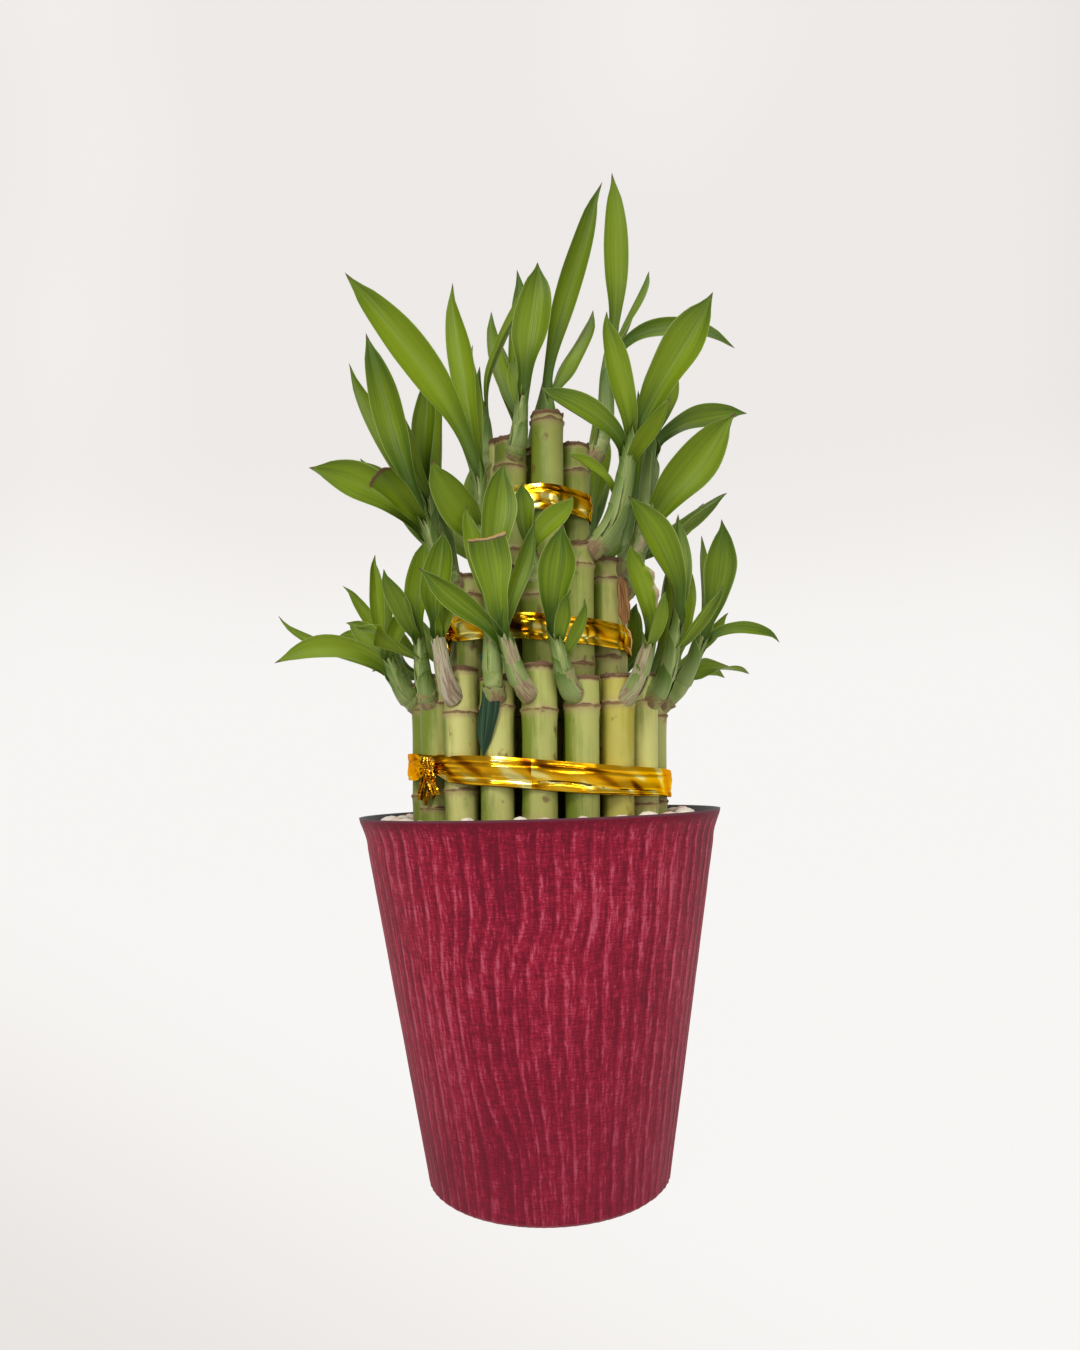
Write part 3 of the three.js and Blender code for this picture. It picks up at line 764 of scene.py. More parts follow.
def leaf_material(settings):
    g = Graph("leaf_blade")
    tone = g.attribute("tone")
    cut = g.attribute("mark")
    turn, along = g.uv()
    side = abs(abs(turn * 4 - 2) - 1)
    veins = {"Vector": g.flow(side, along * 0.04), "Scale": 3.4, "Distortion": 0.4, "Detail": 1.0}
    vein = g.add("ShaderNodeTexWave", {}, {**veins, "Detail Scale": 2.0}, output=1)
    cloud = g.noise(g.place(), 38, 2, 0.5)
    fleck = g.noise(g.place(), 900, 2, 0.6)
    streak = g.noise(g.flow(turn * 24, along * 1.3, tone * 9), 1, 2, 0.5)
    # glow paints a highlight across the upper middle of each leaf; light mixes it with the leaf's random
    # tone, clouds and streaks
    glow = 1 - abs(along * 2 - 1.4).step(0.05, 0.7)
    light = cloud * 0.4 + tone * 0.45 + glow * 0.4 + (streak - 0.5) * 0.9 + (cut - 0.5).step(-0.5, 0.3) * 0.3
    dead = g.mix(cut.step(0.7, 0.95), linear(176, 158, 122), linear(206, 148, 70))
    # A wilted strip in the shadow between the canes: its dark green is painted shade
    dark = g.mix(streak.step(0.35, 0.65), linear(20, 44, 28), linear(52, 82, 54))
    rusty = g.mix(streak.step(0.4, 0.6), linear(120, 80, 46), linear(182, 134, 84))
    look = g.layers(
        settings.shade,
        (light.step(0.15, 1.1), settings.blade),
        # Painted shade: darker towards the leaf's edges
        (side.step(0.5, 1.0) * 0.3, settings.shade),
        (vein.step(0.4, 1.0) * 0.07, settings.margin),
        ((0.5 - along + (cloud - 0.5) * 0.15).step(0.0, 0.3) * 0.85, settings.base),
        ((0.27 - along + (streak - 0.5) * 0.2).step(0.0, 0.2) * 0.85, settings.clasp),
        (side.step(0.93, 0.99) * 0.6, settings.margin),
        ((fleck - 0.5).step(0.24, 0.3) * 0.25, settings.margin),
        ((along + (cloud - 0.5) * 0.02).step(0.965, 0.992), linear(92, 70, 44)),
        ((cut + (fleck - 0.5) * 0.3).step(0.4, 0.65), dead),
        (abs(tone - 0.5).step(0.6, 1.0), g.mix(tone.step(0.0, 1.0), dark, rusty)),
    )
    relief = g.bump(vein * 0.7 + streak * 0.8 + fleck * 0.1, 0.25, 0.0002)
    return g.finish(look, 0.36 + fleck * 0.12, relief, Specular_IOR_Level=0.25)


def foil_material(settings):
    g = Graph("gold_foil")
    crease = g.attribute("mark")
    crumpled = g.attribute("tone")
    turn, along = g.uv()
    across = abs(turn * 2 - 1)
    run = along * crumpled * 52
    sweep = g.noise(g.flow(across * 0.4, run + across), 1.5, 0, 0.5)
    band = g.noise(g.flow(across * 2.6, run * 0.35), 1.2, 0, 0.5)
    # The ramp paints the foil's reflections: dark and bright painted reflections laid by noise along the
    # band, lighter or darker along its creases, with painted shade in the knot's pleats
    shine = sweep * 0.72 + band * 0.28 + (crease - 0.5) * 0.22 - crumpled.step(0.6, 1.0) * 0.08
    look = g.ramp(
        shine, (0.31, settings.shadow), (0.38, linear(176, 112, 8)), (0.44, settings.gold),
        (0.57, linear(240, 190, 42)), (0.63, settings.glint),
    )
    wrinkle = g.noise(g.place(), 300, 1, 0.5, 0.4)
    relief = g.bump(wrinkle, 0.07, 0.0006)
    tint = linear(236, 190, 90)
    return g.finish(look, 0.14 + wrinkle * 0.08, relief, Metallic=1.0, Specular_Tint=tint)


def stage_material(settings):
    g = Graph("stage_paper")
    place = g.place()
    cloud = g.noise(place, 0.45, 1, 0.4).step(0.42, 0.62)
    right, back, up = g.split(place)
    # Painted shade: the haze colour laid over the floor towards its near left corner
    painted_corner_shade = ((right * -1.3 - back) / (abs(back + 0.35) + 0.01)).step(-0.1, 1.0)
    look = g.mix(cloud * up.step(0.4, 1.4) * 0.7 + painted_corner_shade, settings.floor, settings.haze)
    seen = back.step(-1.4, -0.1) * (3.4 - abs(right)).step(0.0, 1.8)
    black = linear(0, 0, 0)
    glow = g.mix(0.4 + seen * 0.6, black, look)
    paper = g.mix(0.01, black, look)
    return g.finish(paper, 0.95, Specular_IOR_Level=0.0, Emission_Color=glow, Emission_Strength=1.0)


# The pot

def grain(angle, z):
    """How high the wood-grain relief stands at a place on the pot: thin raised lines reach 1, the
    grooves beside them 0, and the rest lies between. The lines run up the pot and swing round a
    figure left of the front's middle."""
    ribs = bpy.context.scene.bamboo_pot.ribs
    spot = Vector((math.cos(angle) * 1.6, math.sin(angle) * 1.6, z / 60))
    # How far round from the front: the lines grow fuller and paler towards the pot's sides, a painted sheen
    # there
    side = min(1.0, abs(angle) / 1.1)
    drift = noise.noise(spot * 1.3) * 0.025 + noise.noise(spot * 3.1 + Vector((7, 1, 3))) * 0.012
    down = smooth(0, 1, (97 - z) / 20)
    back = smooth(0, 1, (70 - z) / 55)
    figure = bell((angle + 0.1) / 0.5) * (down - back) * 0.1
    slant = bell((angle + 0.25) / 0.17) * smooth(0, 1, (52 - z) / 36) * 0.12
    shift = angle + drift + figure - slant
    fade = 0.6 + 0.85 * lumps(angle * 9, z / 26, 2) + 0.25 * side
    fade = min(1.1, max(0.12, fade))
    line = (0.5 + 0.5 * math.cos(ribs * shift)) ** 4 * fade
    groove = (0.5 + 0.5 * math.cos(ribs * shift + 1.7)) ** 3 * (0.25 + 0.45 * fade)
    fine = 0.08 * math.cos(ribs * 3 * shift + noise.noise(spot * 5) * 5)
    return min(1.0, max(0.0, 0.4 + 0.5 * line - 0.4 * groove + fine))


def wall_radius(z):
    """The pot's outside at a height, flared above its neck."""
    if z <= NECK:
        return lerp(FOOT_RADIUS, NECK_RADIUS, z / NECK)
    t = (z - NECK) / (POT_HEIGHT - 0.8 - NECK)
    return lerp(NECK_RADIUS, RIM_RADIUS, min(1, t) ** 1.8)


class BAMBOO_OT_pot(bpy.types.Operator):
    """Adds the pot with its wood-grain relief"""

    bl_idname = "bamboo.pot"
    bl_label = "Pot"

    def execute(self, context):
        settings = context.scene.bamboo_pot
        relief = settings.relief / MM
        body = Body()
        rows, around = 84, 1020
        heights = [POT_HEIGHT * row / rows for row in range(rows + 1)]
        rounding = 1.4

        def outside(turn, z):
            angle = (turn - 0.5) * 2 * math.pi
            round_off = rounding * (1 - math.sqrt(max(0, 1 - (1 - min(z, rounding) / rounding) ** 2)))
            high = grain(angle, z) * (1 - smooth(POT_HEIGHT - 4, POT_HEIGHT - 0.6, z))
            radius = wall_radius(z) - round_off - relief * (1 - high)
            return polar(radius, math.degrees(angle), z), high

        body.skin(heights, around, outside)
        for vert in body.mesh.verts:
            vert[body.tone] = vert.co.z / POT_HEIGHT
        rim = [edge for edge in body.open_edges() if edge.verts[0].co.z > NECK]
        foot = [edge for edge in body.open_edges() if edge.verts[0].co.z < NECK]
        profile = [
            (RIM_RADIUS - 0.6, POT_HEIGHT), (RIM_RADIUS - 1.3, POT_HEIGHT - 0.3),
            (NECK_RADIUS - WALL, NECK), (FOOT_RADIUS - WALL + 0.6, FLOOR), (0.02, FLOOR),
        ]
        self.close(body, rim, profile, 1)
        self.close(body, foot, [(FOOT_RADIUS - rounding - 6, 0), (0.02, 0)], 0)
        materials = [pot_material(settings), pot_inside_material()]
        body.finish("grained_pot", materials, "pot", "pot", transform=upright_to_scene, sharp=60)
        return {"FINISHED"}

    @staticmethod
    def close(body, edges, profile, material):
        """Carries an open edge along a profile of radii and heights to the axis."""
        for radius, z in profile:
            edges, verts = body.extrude(edges, material)
            for vert in verts:
                flat = Vector((vert.co.x, vert.co.y, 0)).normalized() * radius
                vert.co = (flat.x, flat.y, z)
                vert[body.mark] = 0
                vert[body.tone] = 1.0 if z > NECK else 0.5
        bmesh.ops.remove_doubles(body.mesh, verts=verts, dist=CAP_POINT)


class BAMBOO_OT_soil(bpy.types.Operator):
    """Gives the soil its finish"""

    bl_idname = "bamboo.soil"
    bl_label = "Soil"

    def execute(self, context):
        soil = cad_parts["soil"]
        soil.data.materials.clear()
        soil.data.materials.append(soil_material())
        return {"FINISHED"}


class BAMBOO_OT_pebbles(bpy.types.Operator):
    """Adds the white stones round the canes"""

    bl_idname = "bamboo.pebbles"
    bl_label = "Pebbles"

    def execute(self, context):
        settings = context.scene.bamboo_pebbles
        random = make_random(SEED + 90)
        body = Body()
        outer = 52
        rings = [
            (52.2, 115.4, 1.0), (46.9, 115.2, 0.9), (51.6, 117.6, 0.95), (46.6, 117.9, 1.0),
            (48.8, 119.8, 0.7),
        ]
        for ring, z, share in rings:
            count = int(settings.stones * share * ring / outer)
            for i in range(count):
                radius = ring + (random() - 0.5) * 1.6
                degrees = (i + random() * 0.5) * 360 / count
                self.stone(body, polar(radius, degrees, z + (random() - 0.5) * 1.2), random)
        body.finish("white_pebbles", [pebble_material(settings)], "pebbles", "pebble", upright_to_scene, 80)
        return {"FINISHED"}

    @staticmethod
    def stone(body, centre, random):
        """A rounded stone, a little lumpy and flattened."""
        verts = bmesh.ops.create_icosphere(body.mesh, subdivisions=2, radius=1)["verts"]
        size = 2.5 + random()
        spin = Matrix.Rotation(random() * 6.3, 4, "Z") @ Matrix.Rotation((random() - 0.5) * 0.9, 4, "X")
        sizes = (size * (1 + random() * 0.3), size * 0.92, size * (0.62 + random() * 0.14), 1)
        squash = Matrix.Diagonal(sizes)
        seed = Vector((random() * 50, random() * 50, random() * 50))
        tone = random()
        for vert in verts:
            lump = 1 + 0.16 * noise.noise(vert.co * 1.3 + seed)
            spot = spin @ squash @ (vert.co * lump) + centre
            reach = Vector((spot.x, spot.y)).length
            limit = wall_radius(min(spot.z, NECK)) - WALL + max(0, spot.z - NECK) * 0.25 - GAP
            if reach > limit:
                spot.x *= limit / reach
                spot.y *= limit / reach
            vert.co = spot
            vert[body.tone] = tone
        for face in faces_of(verts):
            face.smooth = True


# Canes and shoots

# The slots of the canes' materials
SKIN, CUT, STEM, BLADE, DRY = range(5)
# How far across a blade its two sides meet
BLADE_EDGE = 0.999
# How much lower one cane is cut than the next, and how much thinner the thinnest one is
TOP_STEP = 1.2
THINNING = 0.25
# Where a cane's skin has its rows, from a knot
KNOT_ROWS = (-7, -3.4, -1.7, -0.9, -0.4, 0, 0.35, 0.8, 1.7, 3.4, 7)


def cane_top(key, i):
    return TIERS[key[0]]["top"] + RISES.get(key, 0) - TOP_STEP * ((i * 3) % 4)


def cane_knots(key, i):
    """The heights of a cane's knots, from the uppermost downwards."""
    z = TIERS[key[0]]["knot"] + RISES.get(key, 0) + KNOT_STEP * ((i * 5) % 4 - 2)
    if key in BARE:
        z = cane_top(key, i) - BARE_KNOT_DROP
    knots = [z]
    gaps = LOW_KNOT_GAPS if key[0] == "low" else KNOT_GAPS
    k = i
    while z > SOIL_TOP + 20:
        z -= gaps[k % len(gaps)]
        k += 2
        knots.append(z)
    return knots


def grow_cane(body, key, i, centre, tone):
    """A cane with a raised ring at each knot, a slight waist between them and a cut top."""
    radius = TIERS[key[0]]["radius"] - THINNING * (((i * 7) % 5) / 4)
    top = cane_top(key, i)
    knots = cane_knots(key, i)
    lip = 0.7
    heights = {CANE_FOOT, SOIL_TOP - 2, top - 3, top - 1.2, top - lip, top - 0.25, top}
    for knot in knots:
        heights.update(knot + row for row in KNOT_ROWS)
    heights = sorted(z for z in heights if CANE_FOOT <= z <= top)

    def side(turn, z):
        angle = 360 * turn * math.pi / 180
        near = min(abs(z - knot) for knot in knots)
        above = min((z - knot if z > knot else 99) for knot in knots)
        ring = bell(near / 0.55)
        step = -0.16 * bell((above - 1.1) / 0.8)
        uneven = lumps(math.sin(angle) * 0.9, math.cos(angle) * 0.9, z / 22 + i * 3) * 0.16
        reach = radius - 0.34 + 0.24 * bell(near / 3.2) + 0.42 * ring + step + uneven
        reach -= 0.55 * smooth(top - lip, top, z) ** 2
        tilt = ring_lumps(angle, 1, i + z * 0.01) * 0.35
        mark = max(ring, 0.34 * bell(near / 1.9), 1.1 * smooth(top - 2.2, top - 0.9, z))
        return centre + polar(min(reach, radius + RIDGE), 360 * turn, z + tilt * ring), mark

    body.skin(heights, 30, side, SKIN, tone)
    close_ends(body, heights[0], top, centre, tone)
    return top, radius


def close_ends(body, low, top, centre, tone):
    """Caps a cane: plain below, and above with a slightly sunk face of dry pith."""
    for z, dip in ((low, 0), (top, 0.45)):
        edges = [edge for edge in body.open_edges() if abs(edge.verts[0].co.z - z) < 1.2]
        for share, depth, mark in ((0.86, 0.1, 0.7), (0.62, dip, 0.15), (0.3, dip, 0.1), (0.004, dip, 0.5)):
            edges, verts = body.extrude(edges, CUT)
            middle = sum((vert.co for vert in verts), Vector()) / len(verts)
            for vert in verts:
                away = (vert.co - middle).normalized() * TIERS["low"]["radius"] * share
                vert.co = Vector((centre.x + away.x, centre.y + away.y, z - depth if dip else z))
                vert[body.mark] = mark
                vert[body.tone] = tone
        bmesh.ops.remove_doubles(body.mesh, verts=verts, dist=CAP_POINT)


def grow_collar(body, centre, z, radius, random, height, lift=0.35):
    """A ragged dry skirt round a cane, as a knot or a cut top leaves."""
    seed = random() * 40
    thick = 0.22

    def place(turn, station):
        angle = math.radians(360 * station)
        tall = height * (0.55 + 0.9 * ring_lumps(angle, 2.4, seed) + 0.35 * ring_lumps(angle, 9, seed))
        section = math.radians(360 * turn)
        out = radius + thick * math.cos(section) + (lift if math.sin(section) > 0 else 0) * 0.5
        rise = max(0.15, tall) * (0.5 + 0.5 * math.sin(section)) - 0.25
        return centre + polar(out, 360 * station, z + rise), 0.5

    body.skin(steps(40), 6, place, DRY, -0.1 - random() * 0.3)


def stem_curve(root, end):
    """A stem leaves the cane outwards and curves up to its tip."""
    rise = end - root
    reach = rise.length
    outward = Vector((rise.x, rise.y, 0)).normalized()
    outward = Vector((outward.x, outward.y, 0.35)).normalized()
    bend = end - rise * 0.3
    bend.z = end.z - reach * 0.38
    return Curve(root, root + outward * (reach * 0.42), bend, end)


def stem_radius(t):
    return lerp(STEM_ROOT_RADIUS, STEM_TIP_RADIUS, t**0.8)


def frame_of(curve, t, facing):
    """A point on a curve with the directions along, across and out of a blade there."""
    along = curve.along(t)
    across = along.cross(facing).normalized()
    return curve.at(t), along, across, across.cross(along).normalized()


def grow_stem(body, curve, tone, seed):
    """A stem of sheaths, each a little wider at its top and ringed where the next one starts."""
    sheaths = max(3, round((curve.points[3] - curve.points[0]).length / 7))
    closing_row = 1.0001
    up = Vector((0.31, 0.27, 0.9))

    def side(turn, t):
        centre, along, across, out = frame_of(curve, min(t, 1), up)
        angle = 2 * math.pi * turn
        saw = (t * sheaths) % 1
        ring = bell(min(saw, 1 - saw) / 0.09)
        reach = stem_radius(min(t, 1)) * (0.93 + 0.1 * saw) + 0.1 * ring
        reach *= 1 - 0.75 * smooth(0.84, 1, t)
        reach += noise.noise(centre * 0.3 + Vector((seed, turn * 3, 0))) * 0.2
        if t > 1:
            reach = 0.001
        tilt = 0.5 * math.cos(angle + seed) * ring
        spot = centre + across * (reach * math.cos(angle)) + out * (reach * math.sin(angle))
        return spot + along * tilt, ring

    body.skin(steps(sheaths * 7) + [closing_row], 16, side, STEM, tone)


def leaf_width(s, cut):
    """A leaf's width along its length, as a share of its full width: a narrow strap for a good way
    from the stem, widest past the middle and drawn out to a point. A cut leaf widens up to its
    cut."""
    widest = 1 if cut else 0.62
    if s <= widest:
        return lerp(0.42, 1, smooth(0.1, widest, s))
    return (1 - ((s - widest) / (1 - widest)) ** 2) * (1 - 0.35 * smooth(0.86, 0.98, s))


def leaf_curve(stem, leaf):
    at, tip = leaf[0], Vector(leaf[1])
    root = stem.at(at)
    along = stem.along(at)
    reach = (tip - root).length
    root = root - along * STEM_TIP_RADIUS
    middle = root.lerp(tip, 0.62) + Vector((0, 0, leaf[4]))
    return Curve(root, root + along * (reach * 0.32), middle, tip)


def grow_leaf(body, stem, leaf, layer, random, thickness):
    """A blade whose base wraps the stem as a sheath. It leaves the stem, opens into a shallow fold
    and ends in a point. The first part of its length, up to parting, runs on the stem."""
    at, _, wide, face, _ = leaf[:5]
    form = leaf[5] if len(leaf) > 5 else "whole"
    cut = form in ("cut", "rolled")
    curve = leaf_curve(stem, leaf)
    facing = polar(1, face, 0.25)
    parting = 0.22
    low = max(0.16, at - 0.42)
    fold = 1.25 if form == "rolled" else 0.5 + random() * 0.5
    keel = 0.12 + random() * 0.14
    wave = random() * 6.3
    ripple = 0.3 + random() * 0.6
    twist = (random() - 0.5) * 0.8
    hook = 0 if cut else (random() - 0.5) * 3.2
    stations = [parting * k / 7 for k in range(7)] + [parting + (1 - parting) * k / 24 for k in range(24)]
    stations += [0.985, 1]

    def side(turn, station):
        s = max(0.0, (station - parting) / (1 - parting))
        if station < parting:
            t = lerp(low, at, station / parting) - 0.05
            centre, along, across, out = frame_of(stem, max(0.02, t), facing)
        else:
            t = at
            centre, along, across, out = frame_of(curve, s, facing)
        rooted = smooth(0, 0.3 * parting, station)
        clasp = stem_radius(t) + lerp(-0.7, 0.14 + 0.14 * layer, rooted)
        wrap = lerp(3.1, 2.8, min(1, station / parting))
        front, u = blade_place(turn)
        opened = smooth(0.05, 0.45, s)
        half = wide / 2 * max(leaf_width(s, cut), 0.02)
        half = lerp(clasp * wrap, half, smooth(0.0, 0.2, s))
        curl = lerp(min(wrap, half / clasp), fold, opened)
        bend = half / curl
        uneven = 1 + 0.2 * opened * lumps(s * 3.4, wave, 5 if u > 0 else 9)
        x = bend * math.sin(curl * u) * uneven
        y = bend * (1 - math.cos(curl * u)) - clasp * (1 - opened)
        y += keel * half * (abs(u) - 0.4) * opened
        y += ripple * math.sin(s * 9 + wave + u * 1.2) * abs(u) * smooth(0.3, 0.6, s) * (1 - s * s)
        turned = twist * smooth(0.2, 1, s)
        level, steep = math.cos(turned), math.sin(turned)
        across, out = across * level + out * steep, out * level - across * steep
        thick = thickness * (0.35 + 0.65 * math.sqrt(max(0, 1 - u * u))) * lerp(0.24, 1, opened)
        if s > 0.97 and not cut:
            thick *= 0.5
        if abs(u) > BLADE_EDGE:
            thick = 0
        lift = thick / 2 * front
        x -= math.sin(curl * u) * lift
        y += math.cos(curl * u) * lift
        mark = 0.0
        if cut:
            end = smooth(0.965, 1, s)
            ragged = 0.5 * lumps(u * 1.3, wave, 0) + 0.2 * lumps(u * 6, wave, 3)
            centre = centre + along * (ragged * 2.4 * end)
            mark = end * (1 if form == "cut" else 0)
        elif station == 1:
            x = y = 0
        centre = centre + across * (hook * smooth(0.86, 1.02, s) ** 2)
        if form == "withered":
            edge = smooth(0.5, 0.8, u + 0.3 * lumps(s * 7, wave, 1))
            mark = 0.7 * edge * smooth(0.08, 0.2, s) * (1 - smooth(0.7, 0.85, s))
            y += 1.1 * edge * math.sin(s * 34 + wave)
        return centre + across * x + out * y, mark

    body.skin(stations, 24, side, BLADE, random(), blade=True)


def grow_strip(body, points, wide, tone):
    """A limp, crumpled strip of a wilted leaf."""
    curve = Curve(*points)

    def side(turn, s):
        centre, _, across, out = frame_of(curve, s, Vector((0, -1, 0.1)))
        front, u = blade_place(turn)
        end = smooth(0, 0.12, s) * (1 - smooth(0.75, 1, s))
        half = wide / 2 * end * (0.85 + 0.5 * lumps(s * 4, u, tone))
        crumple = 0.35 * math.sin(u * 5 + s * 8) * end
        thick = 0.12 * front * end * (1 - u * u)
        return centre + across * (half * u) + out * (crumple + thick), 0.0

    body.skin(steps(24), 20, side, BLADE, tone, blade=True)


def grow_sheath(body, stem, random, start, stop, middle, share, tone):
    """A dry papery sheath that hugs part of a stem and ends ragged."""
    seed = random() * 30

    def side(turn, s):
        front, u = blade_place(turn)
        rag = 1 + 0.22 * lumps(u * 1.8, seed, 0) + 0.1 * lumps(u * 7, seed, 4)
        t = min(1, lerp(start, stop, s * rag))
        centre, _, across, out = frame_of(stem, t, Vector((0, -1, 0.25)))
        angle = math.radians(middle) + u * math.pi * share * (1 - 0.25 * s)
        thick = 0 if abs(u) > BLADE_EDGE else 0.1 * front
        flare = 0.22 + 0.3 * smooth(0.6, 1, s) + 0.2 * lumps(u * 3, s * 3, seed)
        reach = stem_radius(t) + flare + thick
        return centre + out * (reach * math.cos(angle)) + across * (reach * math.sin(angle)), s

    body.skin(steps(14), 24, side, DRY, tone)
    body.fill_holes()


def pattern_shoot(tier, degrees, random):
    """The shoot of a cane that isn't listed, by its tier's pattern."""
    ring, shoot = TIERS[tier]["ring"], TIERS[tier]["shoot"]
    stem, leaves = PATTERNS[tier]

    def vary():
        return 1 + (random() - 0.5) * 2 * PATTERN_SPREAD

    mirror = -1 if random() < 0.5 else 1
    out = ring + stem[0] * vary()
    end = polar(out, degrees, shoot + stem[1] * vary())
    made = []
    for at, outwards, side, up, wide, arch in leaves:
        angle = degrees + side * mirror * vary()
        away = ring + stem[0] + outwards * vary()
        tip = polar(away, angle, end.z + up * vary())
        made.append((at, tuple(tip), wide * vary(), angle, arch))
    return end, made


class BAMBOO_OT_canes(bpy.types.Operator):
    """Adds every cane with its shoot and leaves"""

    bl_idname = "bamboo.canes"
    bl_label = "Canes and leaves"

    def execute(self, context):
        canes, leaves = context.scene.bamboo_canes, context.scene.bamboo_leaves
        materials = [
            cane_material(canes), cut_material(canes), stem_material(leaves, canes), leaf_material(leaves),
            dry_material(canes),
        ]
        pattern_random = make_random(SEED)
        for tier, sizes in TIERS.items():
            for i in range(sizes["count"]):
                degrees = (sizes["turn"] + i * 360 / sizes["count"] + 125) % 360 - 125
                self.cane(tier, i, round(degrees), materials, pattern_random, leaves.thickness / MM)
        return {"FINISHED"}

    @staticmethod
    def cane(tier, i, degrees, materials, pattern_random, thickness):
        sizes = TIERS[tier]
        key = (tier, degrees)
        random = make_random(1000 + 77 * i + 13 * len(tier) + sizes["count"])
        random()
        tone = CANE_TONES.get(key, 0.15 + 0.6 * random())
        body = Body()
        centre = polar(sizes["ring"], degrees, 0)
        top, radius = grow_cane(body, key, i, centre, tone)
        grow_collar(body, centre, top - 0.8, radius - 0.3, random, height=1.6, lift=0.3)
        for knot in cane_knots(key, i)[:2]:
            if knot > SOIL_TOP + 8:
                grow_collar(body, centre, knot, radius - 0.05, random, height=1.1)
        if key not in BARE:
            end, leaves = SHOOTS[key] if key in SHOOTS else pattern_shoot(tier, degrees, pattern_random)
            root = centre.copy()
            root.z = sizes["shoot"] + RISES.get(key, 0)
            stem = stem_curve(root, Vector(end))
            grow_stem(body, stem, random(), random() * 6)
            for layer, leaf in enumerate(sorted(leaves, key=lambda item: -item[0])):
                grow_leaf(body, stem, leaf, layer, random, thickness)
            if key in WILTED:
                grow_strip(body, *WILTED[key])
            for sheath in SHEATHS.get(key, [PLAIN_SHEATH]):
                grow_sheath(body, stem, random, *sheath)
        number = f"{i + 1:02d}"
        body.finish(f"bamboo_{tier}_{number}", materials, f"cane_{tier}_{number}", "plant")


# Ribbons

def ribbon_path(tier):
    """The taut line round a tier: arcs round the canes and straights between, with normals."""
    sizes = TIERS[tier]
    clear = sizes["radius"] + RIDGE + GAP
    points = []
    half = 180 / sizes["count"]
    for i in range(sizes["count"]):
        degrees = sizes["turn"] + i * 360 / sizes["count"]
        centre = polar(sizes["ring"], degrees, 0)
        for k in range(5):
            points.append(centre + polar(clear, degrees - half + 2 * half * k / 4, 0))
        last = points[-1]
        ahead = polar(sizes["ring"], degrees + 2 * half, 0) + polar(clear, degrees + half, 0)
        points.extend(last.lerp(ahead, k / 5) for k in range(1, 5))
    for _ in range(6):
        count = len(points)
        points = [
            points[k] * 0.5 + (points[k - 1] + points[(k + 1) % count]) * 0.25 for k in range(count)
        ]
    ahead = points[1:] + points[:1]
    behind = points[-1:] + points[:-1]
    up = Vector((0, 0, 1))
    path = [(spot, (b - a).cross(up).normalized()) for spot, a, b in zip(points, behind, ahead)]
    return path + path[:1]


